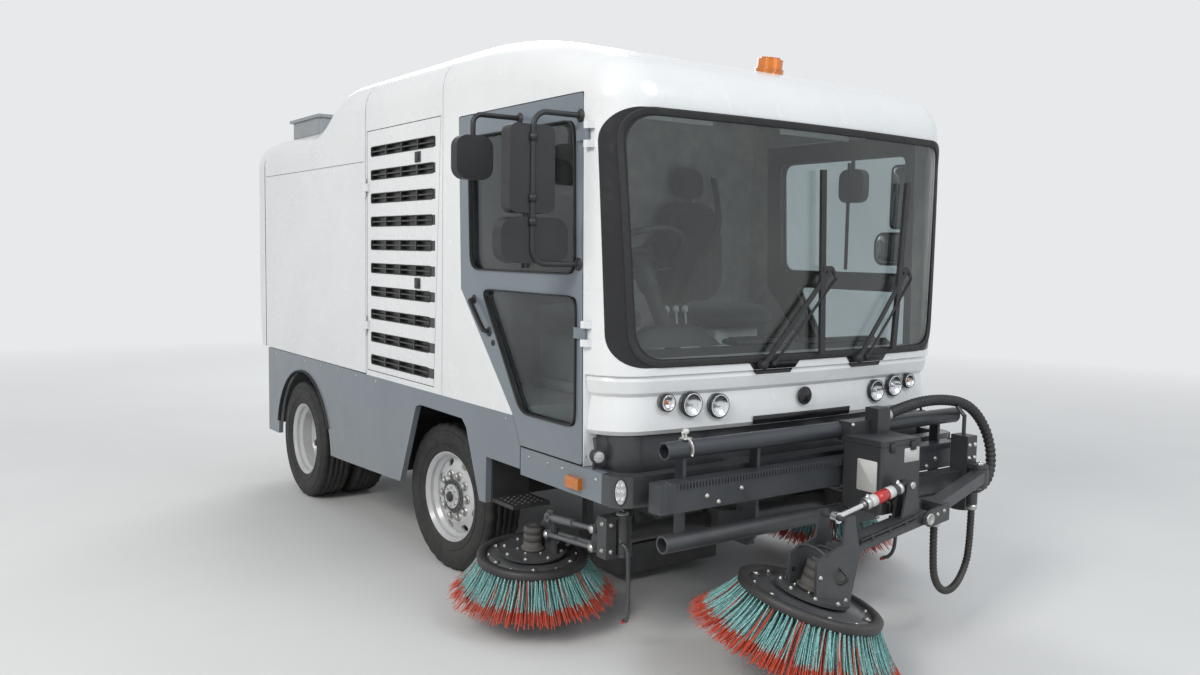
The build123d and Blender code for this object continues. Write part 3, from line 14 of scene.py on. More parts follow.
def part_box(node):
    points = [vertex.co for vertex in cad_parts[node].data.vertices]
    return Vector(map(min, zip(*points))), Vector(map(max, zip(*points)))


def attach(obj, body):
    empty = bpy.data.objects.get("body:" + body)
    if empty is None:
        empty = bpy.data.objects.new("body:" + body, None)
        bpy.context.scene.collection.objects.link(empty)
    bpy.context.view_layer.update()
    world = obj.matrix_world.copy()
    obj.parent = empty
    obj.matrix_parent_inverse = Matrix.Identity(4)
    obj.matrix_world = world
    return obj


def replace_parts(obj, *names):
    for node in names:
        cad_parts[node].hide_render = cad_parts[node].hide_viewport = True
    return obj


bl_info = {
    "name": "Compact road sweeper looks",
    "version": (1, 0, 0),
    "blender": (4, 5, 0),
    "location": "View3D > Sidebar > Sweeper",
    "description": "Dresses the packed road sweeper with materials, bristles, tread, seals and fittings",
    "category": "Object",
}

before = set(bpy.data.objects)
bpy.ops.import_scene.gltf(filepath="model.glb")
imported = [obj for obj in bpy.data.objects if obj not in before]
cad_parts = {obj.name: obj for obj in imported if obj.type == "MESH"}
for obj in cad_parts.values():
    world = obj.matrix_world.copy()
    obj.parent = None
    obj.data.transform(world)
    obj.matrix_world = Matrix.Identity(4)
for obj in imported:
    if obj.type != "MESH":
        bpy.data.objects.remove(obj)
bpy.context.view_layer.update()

# Place of the centre plane and of the front axle in the row frame, mm
CENTRE_X = 18.0
AXLE_Y = -164.0
# Half of the body's width
BODY_HALF = 1025.0
SIDES = (("right", -1), ("left", 1))
UP = (0, 0, 1)
AHEAD = (0, -1, 0)
# Outer face of the body's side pieces
SIDE_X = 1024.5
# Rail tubes across the front, the plane of the boom's arms and the louvres of the engine doors
TUBE_Y = -1725.0
TUBE_HEIGHTS = (905, 545)
ARM_Y = -2055.0
LOUVRE_TOP = 2200.0
LOUVRE_PITCH = 128.0
LOUVRE_H = 47.0

# Look of a new piece and the material slot that it stands for
SLOTS = {
    "amber": "amber_lens", "bristle": "bristle_teal", "cast": "cast_grey", "chrome": "rod_chrome",
    "dark": "dark_paint", "fabric": "seat_fabric", "gasket": "black_plastic", "gear": "dark_paint",
    "gloss": "black_plastic", "hose": "hose_rubber", "interior": "black_plastic", "mirror": "body_glass",
    "plastic": "black_plastic", "plate": "white_paint", "red_paint": "red_lens", "steel": "rod_chrome",
    "trim": "black_plastic", "tyre": "tyre_rubber", "white_lens": "head_lens",
}
MATERIALS = {}


# ---- Points and surfaces

def place(points):
    """Vehicle points in mm, as rows of an array, in the row frame in metres."""
    points = np.asarray(points, float).reshape(-1, 3)
    return (points + (CENTRE_X, AXLE_Y, 0.0)) / 1000.0


def unit(vectors):
    """Rows scaled to length 1."""
    vectors = np.asarray(vectors, float)
    return vectors / np.maximum(np.linalg.norm(vectors, axis=-1, keepdims=True), 1e-12)


def new_piece(name, verts, faces, look, body, smooth=True, slot=None, tip=None):
    """Makes one mesh piece from vertices in mm and faces that rides on a body, with its look's material; the slot is
    looked up but not used.
    """
    mesh = bpy.data.meshes.new(name)
    mesh.from_pydata(place(verts).tolist(), [], [list(map(int, face)) for face in faces])
    mesh.validate()
    if smooth:
        mesh.polygons.foreach_set("use_smooth", [True] * len(mesh.polygons))
    if tip is not None:
        attribute = mesh.attributes.new("tip", "FLOAT", "POINT")
        attribute.data.foreach_set("value", np.asarray(tip, np.float32))
    mesh.materials.append(MATERIALS[look])
    piece = bpy.data.objects.new(name, mesh)
    bpy.context.scene.collection.objects.link(piece)
    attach(piece, body)
    slot = slot or SLOTS[look]
    return piece


def grid_faces(rows, columns, close_rows=False, close_columns=False):
    """Quads of a grid of rows by columns vertices, optionally joined end to end either way."""
    row = np.arange(rows if close_rows else rows - 1)
    column = np.arange(columns if close_columns else columns - 1)
    i, j = np.meshgrid(row, column, indexing="ij")
    after_i, after_j = (i + 1) % rows, (j + 1) % columns
    quads = np.stack([i * columns + j, i * columns + after_j, after_i * columns + after_j, after_i * columns + j], -1)
    return quads.reshape(-1, 4).tolist()


class Shape:
    """Vertices and faces gathered from several surfaces, later made into one piece."""

    def __init__(self):
        self.verts = []
        self.faces = []
        self.count = 0

    def add(self, verts, faces):
        """Adds one surface; its faces count from its own first vertex."""
        verts = np.asarray(verts, float).reshape(-1, 3)
        self.verts.append(verts)
        self.faces.extend([[index + self.count for index in face] for face in faces])
        self.count += len(verts)

    def piece(self, name, look, body, **options):
        """The gathered surfaces as one piece."""
        return new_piece(name, np.concatenate(self.verts), self.faces, look, body, **options)


def frames_along(path, closed=False, up=UP):
    """Side and top vectors at each point of a path, turned as little as possible from one to the next.

    Each side vector is the last one less its part along the new tangent, scaled to 1.
    """
    path = np.asarray(path, float)
    if closed:
        tangent = unit(np.roll(path, -1, 0) - np.roll(path, 1, 0))
    else:
        tangent = unit(np.gradient(path, axis=0))
    side = np.cross(tangent[0], up)
    if np.linalg.norm(side) < 1e-3:
        side = np.cross(tangent[0], (1.0, 0.0, 0.0))
    sides = [side / np.linalg.norm(side)]
    for direction in tangent[1:]:
        side = sides[-1] - direction * np.dot(sides[-1], direction)
        sides.append(side / np.linalg.norm(side))
    sides = np.array(sides)
    return sides, np.cross(sides, tangent)


def sweep(shape, path, profile, closed=False, up=UP, scale=None):
    """Profile of (side, top) points carried along a path: P(i, j) = path_i + s_j side_i + t_j top_i."""
    path = np.asarray(path, float)
    profile = np.asarray(profile, float)
    side, top = frames_along(path, closed, up)
    scale = np.ones(len(path)) if scale is None else np.asarray(scale, float)
    points = (path[:, None, :] + side[:, None, :] * (profile[None, :, :1] * scale[:, None, None])
              + top[:, None, :] * (profile[None, :, 1:] * scale[:, None, None]))
    faces = grid_faces(len(path), len(profile), closed, True)
    if not closed:
        count = len(profile)
        faces.append(list(range(count)))
        faces.append(list(range((len(path) - 1) * count, len(path) * count))[::-1])
    shape.add(points, faces)


def circle(radius, count=12):
    """Round profile: (r cos a, r sin a)."""
    turn = np.arange(count) * 2 * pi / count
    return np.stack([radius * np.cos(turn), radius * np.sin(turn)], -1)


def rounded(width, height, corner, steps=3):
    """Rectangle with quarter circles for corners: its corner's centre plus (r cos a, r sin a), counter-clockwise."""
    points = []
    for quarter, (cx, cy) in enumerate(((1, 1), (-1, 1), (-1, -1), (1, -1))):
        for step in range(steps + 1):
            turn = (quarter + step / steps) * pi / 2
            points.append((cx * (width / 2 - corner) + corner * cos(turn),
                           cy * (height / 2 - corner) + corner * sin(turn)))
    return np.array(points)


def smooth_path(points, count):
    """Points evenly spaced along a Catmull-Rom curve, a cubic between each two of a few points."""
    points = np.asarray(points, float)
    padded = np.concatenate([2 * points[:1] - points[1:2], points, 2 * points[-1:] - points[-2:-1]])
    spans = len(padded) - 3
    t = np.linspace(0, spans, count)
    i = np.minimum(t.astype(int), spans - 1)
    t = (t - i)[:, None]
    a, b, c, d = padded[i], padded[i + 1], padded[i + 2], padded[i + 3]
    return 0.5 * (2 * b + (c - a) * t + (2 * a - 5 * b + 4 * c - d) * t**2 + (3 * b - a - 3 * c + d) * t**3)


def corner_path(points, radius, steps=5, closed=True):
    """A polygon's corners rounded by arcs, as quadratic curves between points at a radius from each corner."""
    points = np.asarray(points, float)
    result = []
    count = len(points)
    for i in range(count):
        if not closed and i in (0, count - 1):
            result.append(points[i])
            continue
        before, here, after = points[i - 1], points[i], points[(i + 1) % count]
        start = here + unit(before - here) * min(radius, 0.45 * np.linalg.norm(before - here))
        end = here + unit(after - here) * min(radius, 0.45 * np.linalg.norm(after - here))
        for t in np.linspace(0, 1, steps):
            result.append((1 - t)**2 * start + 2 * t * (1 - t) * here + t**2 * end)
    return np.array(result)


def basis(axis):
    """Two unit vectors square to an axis and to each other."""
    axis = unit(axis)
    start = np.array((0.0, 0.0, 1.0)) if abs(axis[2]) < 0.9 else np.array((1.0, 0.0, 0.0))
    u = unit(np.cross(start, axis))
    return u, np.cross(axis, u)


def turned(shape, origin, axis, profile, count=32, closed=False, wave=None):
    """Surface of revolution: P(a, j) = origin + h_j axis + r_j (u cos a + v sin a), with r_j scaled by wave(a, j)."""
    profile = np.asarray(profile, float)
    u, v = basis(axis)
    turn = np.arange(count) * 2 * pi / count
    ring = np.cos(turn)[:, None] * u + np.sin(turn)[:, None] * v
    radius = np.repeat(profile[None, :, 0], count, 0)
    if wave is not None:
        radius = radius * wave(turn[:, None], np.arange(len(profile))[None, :])
    middle = np.asarray(origin, float) + profile[None, :, 1, None] * unit(axis)
    points = middle + radius[:, :, None] * ring[:, None, :]
    shape.add(points, grid_faces(count, len(profile), True, closed))


def bolt(shape, origin, axis, size, height=None, washer=True):
    """Hexagon head across flats size on a washer, standing on origin along axis, its crown chamfered."""
    height = size * 0.62 if height is None else height
    if washer:
        turned(shape, origin, axis, ((size * 0.35, 0), (size * 0.86, 0), (size * 0.86, size * 0.12),
                                     (size * 0.35, size * 0.12)), 16)
    radius = size / sqrt(3)
    turned(shape, origin, axis, ((radius, 0), (radius, height * 0.86), (radius * 0.86, height), (0.01, height)), 6)


def ring_spots(origin, axis, radius, count, start=0.0):
    """Points evenly round a circle: origin + r (u cos a + v sin a), the first at the angle start."""
    u, v = basis(axis)
    turn = start + np.arange(count)[:, None] * 2 * pi / count
    return np.asarray(origin, float) + radius * (np.cos(turn) * u + np.sin(turn) * v)


def bolt_ring(shape, origin, axis, pitch_r, count, size, height=None):
    """Bolts evenly round a circle."""
    for spot in ring_spots(origin, axis, pitch_r, count):
        bolt(shape, spot, axis, size, height)


def box_shape(shape, low, high, bevel=2.0):
    """Box between two corners with its long edges bevelled: a rounded profile carried from bottom to top."""
    low, high = np.minimum(low, high).astype(float), np.maximum(low, high).astype(float)
    size, middle = high - low, (low + high) / 2
    bevel = min(bevel, 0.4 * size.min())
    rings = []
    for z, inset in ((low[2], bevel), (low[2] + bevel, 0), (high[2] - bevel, 0), (high[2], bevel)):
        outline = rounded(size[0] - 2 * inset, size[1] - 2 * inset, max(bevel, 0.5), 2)
        rings.append(np.column_stack([outline + middle[:2], np.full(len(outline), z)]))
    points = np.stack(rings)
    count = points.shape[1]
    faces = grid_faces(4, count, False, True)
    faces += [list(range(count))[::-1], list(range(3 * count, 4 * count))]
    shape.add(points, faces)


def plate_outline(width, height, corner):
    """Rectangle about (0, 0) with its corners rounded, anticlockwise."""
    x, y = width / 2, height / 2
    return corner_path(((-x, -y), (x, -y), (x, y), (-x, y)), corner)


def panel(shape, origin, u, v, outline, thickness, bevel=1.5):
    """Plate on the plane of u and v: its outline in (u, v) mm, raised by a thickness with a bevelled rim."""
    origin, u, v = (np.asarray(a, float) for a in (origin, u, v))
    normal = unit(np.cross(u, v))
    outline = np.asarray(outline, float)
    middle = outline.mean(0)
    inner = outline + unit(middle - outline) * bevel
    rings = [(outline, 0.0), (outline, thickness - bevel), (inner, thickness)]
    points = np.stack([origin + ring[:, :1] * u + ring[:, 1:] * v + height * normal for ring, height in rings])
    count = len(outline)
    faces = grid_faces(3, count, False, True) + [list(range(2 * count, 3 * count)), list(range(count))[::-1]]
    shape.add(points, faces)


# ---- Materials: nodes on Object coordinates, so each surface has grain, blotches, dust and wear at its real scale

class Material:
    """A material with short ways to add and join nodes."""

    def __init__(self, name):
        self.material = bpy.data.materials.new(name)
        self.material.use_nodes = True
        self.nodes = self.material.node_tree.nodes
        self.links = self.material.node_tree.links
        self.shader = self.nodes["Principled BSDF"]
        self.spot = self.add("ShaderNodeTexCoord").outputs["Object"]

    def add(self, kind, **values):
        """A node; values whose names are sockets set those, and others set its own fields."""
        node = self.nodes.new(kind)
        for key, value in values.items():
            if key in node.inputs:
                node.inputs[key].default_value = value
            else:
                setattr(node, key, value)
        return node

    def join(self, output, target):
        """Links an output to an input socket."""
        self.links.new(output, target)

    def set(self, **values):
        """Numbers and colours set straight on the shader."""
        for key, value in values.items():
            self.shader.inputs[key.replace("_", " ")].default_value = value

    def noise(self, scale, detail=4.0, roughness=0.6, stretch=(1, 1, 1)):
        """Noise, 0 to 1, that varies over 1/scale metres, stretched along the axes."""
        mapping = self.add("ShaderNodeMapping")
        mapping.inputs["Scale"].default_value = stretch
        self.join(self.spot, mapping.inputs["Vector"])
        node = self.add("ShaderNodeTexNoise", Scale=scale, Detail=detail, Roughness=roughness)
        self.join(mapping.outputs["Vector"], node.inputs["Vector"])
        return node.outputs["Fac"]

    def cells(self, scale):
        """Distance to the nearest of scattered points, scale of them in a metre."""
        node = self.add("ShaderNodeTexVoronoi", Scale=scale)
        self.join(self.spot, node.inputs["Vector"])
        return node.outputs["Distance"]

    def ramp(self, factor, low, high, out_low=0.0, out_high=1.0):
        """Factor mapped from low..high to out_low..out_high and held there."""
        node = self.add("ShaderNodeMapRange")
        for key, value in (("From Min", low), ("From Max", high), ("To Min", out_low), ("To Max", out_high)):
            node.inputs[key].default_value = value
        self.join(factor, node.inputs["Value"])
        return node.outputs["Result"]

    def along(self, axis):
        """The row frame's coordinate along X, Y or Z, in metres."""
        split = self.add("ShaderNodeSeparateXYZ")
        self.join(self.spot, split.inputs["Vector"])
        return split.outputs[axis]

    def height(self, low, high):
        """1 at a height above the ground of low metres, falling to 0 at high."""
        return self.ramp(self.along("Z"), low, high, 1.0, 0.0)

    def off_centre(self):
        """Distance from the machine's centre plane in metres: |x - centre|."""
        return self.math("ABSOLUTE", self.math("SUBTRACT", self.along("X"), CENTRE_X / 1000), 0.0)

    def within(self, axis, low, high, soft=0.0005):
        """1 where the coordinate along an axis lies between two places in metres, and 0 outside."""
        value = self.along(axis)
        return self.math("MULTIPLY", self.ramp(value, low - soft, low + soft),
                         self.ramp(value, high - soft, high + soft, 1.0, 0.0))

    def math(self, operation, a, b):
        """Two values or outputs joined by an operation."""
        node = self.add("ShaderNodeMath", operation=operation)
        for socket, value in zip(node.inputs, (a, b)):
            if isinstance(value, (int, float)):
                socket.default_value = value
            else:
                self.join(value, socket)
        return node.outputs["Value"]

    def mix(self, factor, a, b):
        """Colour a where the factor is 0 and b where it is 1."""
        node = self.add("ShaderNodeMix", data_type="RGBA")
        sockets = [s for s in node.inputs if s.enabled]
        for socket, value in zip(sockets, (factor, a, b)):
            if isinstance(value, (int, float)):
                socket.default_value = value
            elif isinstance(value, (tuple, list)):
                socket.default_value = (*value[:3], 1.0)
            else:
                self.join(value, socket)
        return [s for s in node.outputs if s.enabled][0]

    def colour(self, output):
        """Links the shader's colour."""
        self.join(output, self.shader.inputs["Base Color"])

    def rough(self, output):
        """Links the shader's roughness."""
        self.join(output, self.shader.inputs["Roughness"])

    def bump(self, heights):
        """Raised relief from several (output, distance in metres) pairs, one over the other."""
        normal = None
        for output, distance in heights:
            node = self.add("ShaderNodeBump", Strength=1.0, Distance=distance)
            self.join(output, node.inputs["Height"])
            if normal is not None:
                self.join(normal, node.inputs["Normal"])
            normal = node.outputs["Normal"]
        self.join(normal, self.shader.inputs["Normal"])


def blend_shaders(nodes, links, share, first, second):
    """The first shader where the share is 0 and the second where it is 1."""
    mix = nodes.new("ShaderNodeMixShader")
    for socket, output in zip(mix.inputs, (share, first, second)):
        links.new(output, socket)
    return mix.outputs["Shader"]


DUST = (0.30, 0.27, 0.23)


def dusty(m, colour, low, high, amount, scale=9.0):
    """Colour with road dust over it, thick near a low height and gone at a high one, broken up by noise."""
    patches = m.ramp(m.noise(scale, 3.0, 0.5), 0.35, 0.7)
    cover = m.math("MULTIPLY", m.height(low, high), m.ramp(patches, 0.0, 1.0, amount * 0.35, amount))
    return m.mix(cover, colour, DUST)


def paint(name, base, shade, rough, dust=(0.35, 1.0, 0.35), chips=0.0, grain=0.000003, coat=0.35):
    """Sprayed paint: slow tone shifts, orange peel, fine scratches, road dust low down and chipped spots."""
    m = Material(name)
    tone = m.mix(m.ramp(m.noise(2.2, 3.0), 0.3, 0.7), base, shade)
    scratch = m.ramp(m.noise(60.0, 2.0, 0.5, (0.15, 1.0, 6.0)), 0.70, 0.74)
    tone = m.mix(m.math("MULTIPLY", scratch, 0.05), tone, (0.5, 0.5, 0.5))
    if chips:
        spots = m.math("MULTIPLY", m.ramp(m.noise(38.0, 5.0, 0.7), 0.69, 0.72), m.ramp(m.noise(4.0), 0.45, 0.6))
        tone = m.mix(m.math("MULTIPLY", spots, chips), tone, (0.24, 0.13, 0.08))
    m.colour(dusty(m, tone, *dust))
    m.rough(m.ramp(m.noise(8.0, 2.0), 0.3, 0.75, rough, rough + 0.10))
    m.bump(((m.noise(500.0, 2.0), grain), (m.noise(6.0, 2.0), 0.0002)))
    m.set(Coat_Weight=coat, Coat_Roughness=0.12)
    return m.material


def plastic(name, base, shade, rough, grain=0.00005, dust=(0.2, 1.2, 0.10)):
    """Moulded plastic with a leathery grain, faded patches and dust."""
    m = Material(name)
    tone = m.mix(m.ramp(m.noise(5.0, 4.0), 0.35, 0.7), base, shade)
    m.colour(dusty(m, tone, *dust))
    m.rough(m.ramp(m.noise(30.0, 4.0), 0.3, 0.7, rough, rough + 0.15))
    m.bump(((m.cells(700.0), grain), (m.noise(60.0, 3.0), 0.0002)))
    return m.material


def rubber(name, base, shade, rough, dust):
    """Rubber: dull, with fine pores and pale dust, thicker low down."""
    m = Material(name)
    tone = m.mix(m.ramp(m.noise(12.0, 5.0), 0.35, 0.65), base, shade)
    m.colour(dusty(m, tone, *dust, scale=16.0))
    m.rough(m.ramp(m.noise(40.0), 0.3, 0.7, rough, rough + 0.2))
    m.bump(((m.noise(450.0, 3.0), 0.00015), (m.noise(25.0, 4.0), 0.0006)))
    return m.material


def metal(name, base, shade, rough, dust=(0.1, 0.9, 0.35), rust=0.0, brushed=(1, 1, 1)):
    """Bare or plated metal: brushed grain, grease blotches, dust and rust."""
    m = Material(name)
    tone = m.mix(m.ramp(m.noise(18.0, 5.0), 0.35, 0.7), base, shade)
    if rust:
        bloom = m.ramp(m.noise(26.0, 8.0, 0.72), 0.56, 0.66)
        tone = m.mix(m.math("MULTIPLY", bloom, rust), tone, (0.20, 0.08, 0.035))
    m.colour(dusty(m, tone, *dust, scale=22.0))
    m.rough(m.ramp(m.noise(120.0, 3.0, 0.6, brushed), 0.3, 0.7, rough, rough + 0.2))
    m.bump(((m.noise(300.0, 3.0, 0.6, brushed), 0.00005), (m.noise(40.0, 4.0), 0.0002)))
    m.set(Metallic=1.0)
    return m.material


def cast(name, base, shade):
    """Painted casting: sandy relief under grime."""
    m = Material(name)
    tone = m.mix(m.ramp(m.noise(20.0, 6.0), 0.3, 0.7), base, shade)
    m.colour(dusty(m, tone, 0.0, 0.9, 0.55, 14.0))
    m.rough(m.ramp(m.noise(50.0), 0.3, 0.7, 0.6, 0.85))
    m.bump(((m.noise(160.0, 4.0), 0.0004), (m.noise(12.0, 3.0), 0.0012)))
    return m.material


def fabric(name, base, shade):
    """Woven seat cloth: crossed threads, lint and a sheen."""
    m = Material(name)
    warp = m.add("ShaderNodeTexWave", Scale=260.0, Distortion=0.6, bands_direction="X")
    weft = m.add("ShaderNodeTexWave", Scale=260.0, Distortion=0.6, bands_direction="Z")
    for wave in (warp, weft):
        m.join(m.spot, wave.inputs["Vector"])
    weave = m.math("MULTIPLY", warp.outputs["Fac"], weft.outputs["Fac"])
    fleck = m.math("MULTIPLY", weave, m.ramp(m.noise(900.0, 2.0), 0.4, 0.7))
    m.colour(m.mix(fleck, m.mix(m.noise(7.0), base, shade), (0.07, 0.075, 0.085)))
    m.rough(m.ramp(m.noise(80.0), 0.3, 0.7, 0.8, 0.95))
    m.bump(((weave, 0.0006), (m.noise(18.0, 3.0), 0.002)))
    m.set(Sheen_Weight=0.3, Sheen_Roughness=0.5)
    return m.material


def glass(name, tint, dirt=0.10):
    """Clear tinted sheet with smears, dust and dried drops; it mirrors by Schlick, 0.04 + 0.96 (1 - cos)^5."""
    m = Material(name)
    m.nodes.remove(m.shader)
    smear = m.math("MULTIPLY", m.ramp(m.noise(2.2, 3.0, 0.5), 0.42, 0.85), dirt)
    drops = m.math("MULTIPLY", m.ramp(m.cells(70.0), 0.03, 0.08, 1.0, 0.0), m.ramp(m.noise(3.5, 2.0), 0.5, 0.62))
    film = m.math("MAXIMUM", smear, m.math("MULTIPLY", drops, min(3.0 * dirt, 0.5)))
    dust = m.add("ShaderNodeBsdfDiffuse", Color=(0.50, 0.48, 0.44, 1.0))
    clear = m.add("ShaderNodeBsdfTransparent", Color=(*tint, 1.0))
    gloss = m.add("ShaderNodeBsdfGlossy", Color=(1.0, 1.0, 1.0, 1.0))
    m.join(m.ramp(m.noise(4.0, 3.0), 0.35, 0.8, 0.0, 0.05), gloss.inputs["Roughness"])
    facing = m.add("ShaderNodeLayerWeight", Blend=0.5).outputs["Facing"]
    mirrored = m.math("ADD", m.math("MULTIPLY", m.math("POWER", facing, 5.0), 0.96), 0.04)
    sheet = blend_shaders(m.nodes, m.links, mirrored, clear.outputs["BSDF"], gloss.outputs["BSDF"])
    whole = blend_shaders(m.nodes, m.links, film, sheet, dust.outputs["BSDF"])
    m.join(whole, m.nodes["Material Output"].inputs["Surface"])
    return m.material


def lens(name, tint):
    """Moulded lamp lens: coloured, with fine prisms pressed into it."""
    m = Material(name)
    wave = m.add("ShaderNodeTexWave", Scale=55.0, bands_direction="Z")
    m.join(m.spot, wave.inputs["Vector"])
    m.colour(m.mix(m.ramp(m.noise(30.0), 0.3, 0.7), tint, tuple(0.8 * c for c in tint)))
    m.rough(m.ramp(m.noise(60.0), 0.3, 0.7, 0.08, 0.18))
    m.bump(((wave.outputs["Fac"], 0.0008), (m.noise(400.0), 0.00005)))
    m.set(Transmission_Weight=0.35, IOR=1.5, Coat_Weight=0.6)
    return m.material


def bristle(name, root, middle, tip):
    """Plastic bristle, its colour changing along the piece's own tip attribute."""
    m = Material(name)
    share = m.add("ShaderNodeAttribute", attribute_name="tip", attribute_type="GEOMETRY").outputs["Fac"]
    shift = m.math("ADD", share, m.ramp(m.noise(55.0, 2.0), 0.3, 0.7, -0.09, 0.09))
    tone = m.mix(m.ramp(m.noise(160.0, 2.0), 0.35, 0.65), root, middle)
    worn = m.mix(m.ramp(m.noise(90.0, 3.0), 0.35, 0.7), tip, (0.38, 0.035, 0.02))
    m.colour(m.mix(m.ramp(shift, 0.68, 0.74), tone, worn))
    m.rough(m.ramp(m.noise(200.0), 0.3, 0.7, 0.38, 0.6))
    m.bump(((m.noise(800.0, 2.0), 0.0001),))
    return m.material


def make_materials(colours):
    """Every look by its short name, with the colours from the settings."""
    white = tuple(colours.white), tuple(colours.white_shade)
    blue = tuple(colours.blue), tuple(colours.blue_shade)
    looks = {
        "white": paint("white_paint", *white, 0.20, (0.5, 1.3, 0.10)),
        "grey": paint("grey_paint", (0.26, 0.28, 0.30), (0.22, 0.24, 0.26), 0.35, (2.2, 2.7, 0.2)),
        "blue": paint("blue_grey_paint", *blue, 0.30, (0.3, 1.0, 0.25), 0.15),
        "dark": paint("dark_paint", (0.020, 0.022, 0.026), (0.030, 0.033, 0.038), 0.40, (0.1, 1.0, 0.20), 0.5,
                      0.00004, 0.15),
        "gear": paint("gear_paint", (0.040, 0.045, 0.052), (0.029, 0.033, 0.039), 0.38, (0.1, 0.9, 0.20), 0.6,
                      0.00004, 0.15),
        "arm": paint("arm_paint", (0.115, 0.125, 0.135), (0.085, 0.094, 0.104), 0.36, (0.1, 0.9, 0.22), 0.6,
                     0.00004, 0.15),
        "plastic": plastic("black_plastic", (0.014, 0.014, 0.016), (0.022, 0.022, 0.024), 0.42),
        "gloss": plastic("gloss_black", (0.008, 0.008, 0.010), (0.013, 0.013, 0.015), 0.14, 0.000005,
                         (0.2, 1.0, 0.06)),
        "interior": plastic("interior_grey", (0.022, 0.023, 0.025), (0.016, 0.017, 0.019), 0.5, 0.0001,
                            (0.6, 1.1, 0.15)),
        "trim": plastic("trim_grey", (0.46, 0.46, 0.45), (0.38, 0.38, 0.37), 0.5, 0.0001, (0.6, 1.1, 0.2)),
        "gasket": rubber("gasket_rubber", (0.010, 0.010, 0.011), (0.016, 0.016, 0.016), 0.5, (0.3, 1.2, 0.08)),
        "tyre": rubber("tyre_rubber", (0.012, 0.012, 0.013), (0.022, 0.022, 0.021), 0.60, (0.0, 0.75, 0.06)),
        "hose": rubber("hose_rubber", (0.012, 0.012, 0.014), (0.020, 0.020, 0.021), 0.42, (0.1, 1.0, 0.16)),
        "rim": paint("rim_paint", (0.60, 0.61, 0.62), (0.46, 0.47, 0.48), 0.26, (0.1, 0.8, 0.30), 0.3),
        "steel": metal("zinc_steel", (0.62, 0.62, 0.60), (0.45, 0.45, 0.43), 0.30, (0.1, 0.9, 0.25), 0.25),
        "chrome": metal("chrome_plate", (0.82, 0.83, 0.84), (0.70, 0.71, 0.72), 0.08, (0.1, 0.8, 0.10), 0.0,
                        (1, 20, 20)),
        "cast": cast("cast_grey", (0.040, 0.040, 0.043), (0.065, 0.063, 0.060)),
        "fabric": fabric("seat_fabric", (0.014, 0.015, 0.018), (0.022, 0.023, 0.027)),
        "glass": glass("body_glass", (0.90, 0.93, 0.93), 0.03),
        "side_glass": glass("side_glass", (0.62, 0.66, 0.67), 0.09),
        "clear": glass("lamp_glass", (0.96, 0.97, 0.98), 0.05),
        "mirror": metal("mirror_face", (0.80, 0.82, 0.84), (0.76, 0.78, 0.80), 0.03, (0.1, 0.5, 0.05)),
        "amber": lens("amber_lens", (0.90, 0.25, 0.01)),
        "red": lens("red_lens", (0.50, 0.01, 0.01)),
        "white_lens": lens("white_lens", (0.75, 0.76, 0.78)),
        "bristle": bristle("bristle_teal", *(tuple(c) for c in (colours.bristle_root, colours.bristle, colours.tip))),
        "red_paint": paint("red_paint", (0.55, 0.015, 0.015), (0.42, 0.012, 0.012), 0.3, (0.1, 0.9, 0.15)),
        "plate": paint("plate_white", (0.66, 0.66, 0.64), (0.58, 0.58, 0.56), 0.4, (0.2, 1.2, 0.15)),
        "louvre": louvre_paint(white),
        "bumper": bumper_paint(blue),
    }
    # look, outer colours, gloss, lining, the middle that the lining faces, dust
    for look, outer, rough, inner, middle, dust in (
            ("cab", white, 0.20, (0.42, 0.41, 0.39), (0, -800, 1600), (0.5, 1.3, 0.07)),
            ("bay", white, 0.20, (0.03, 0.03, 0.032), (0, 330, 1500), (0.5, 1.4, 0.07)),
            ("hopper", white, 0.20, (0.10, 0.085, 0.07), (0, 1700, 1500), (0.5, 1.4, 0.07)),
            ("door", blue, 0.28, (0.05, 0.052, 0.055), (0, -860, 1500), (0.5, 1.3, 0.22))):
        looks[look] = lined_paint(f"{look}_paint", outer, rough, inner, middle, dust)
    return looks


def inward(m, centre):
    """1 on faces within the skin that look towards a centre in metres, and 0 on the others."""
    away = m.add("ShaderNodeVectorMath", operation="SUBTRACT")
    away.inputs[1].default_value = centre
    m.join(m.spot, away.inputs[0])
    dot = m.add("ShaderNodeVectorMath", operation="DOT_PRODUCT")
    m.join(away.outputs["Vector"], dot.inputs[0])
    m.join(m.add("ShaderNodeTexCoord").outputs["Normal"], dot.inputs[1])
    in_skin = m.ramp(m.off_centre(), (BODY_HALF + 0.2) / 1000, (BODY_HALF + 0.8) / 1000, 1.0, 0.0)
    return m.math("MULTIPLY", in_skin, m.ramp(dot.outputs["Value"], -0.02, 0.02, 1.0, 0.0))


def lined(m, lining, outer, inner, rough, dull, dust):
    """Gloss paint, and a duller finish where lining is 1: outer and inner are each a colour and its shade."""
    outer = m.mix(m.ramp(m.noise(2.2, 3.0), 0.3, 0.7), *outer)
    inner = m.mix(m.ramp(m.noise(9.0, 5.0), 0.3, 0.7), *inner)
    m.colour(dusty(m, m.mix(lining, outer, inner), *dust))
    gloss = m.ramp(m.noise(8.0, 2.0), 0.3, 0.75, rough, rough + 0.10)
    m.rough(m.math("MAXIMUM", gloss, m.math("MULTIPLY", lining, dull)))
    m.bump(((m.noise(500.0, 2.0), 0.000003), (m.noise(6.0, 2.0), 0.0002)))
    m.set(Coat_Weight=0.3, Coat_Roughness=0.12)
    return m.material


def lined_paint(name, outer, rough, inner, middle, dust):
    """Paint outside and a darker, duller lining on the faces that look at the middle, a vehicle point in mm."""
    m = Material(name)
    lining = inward(m, tuple(place(middle)[0]))
    return lined(m, lining, outer, (inner, tuple(0.7 * c for c in inner)), rough, 0.65, dust)


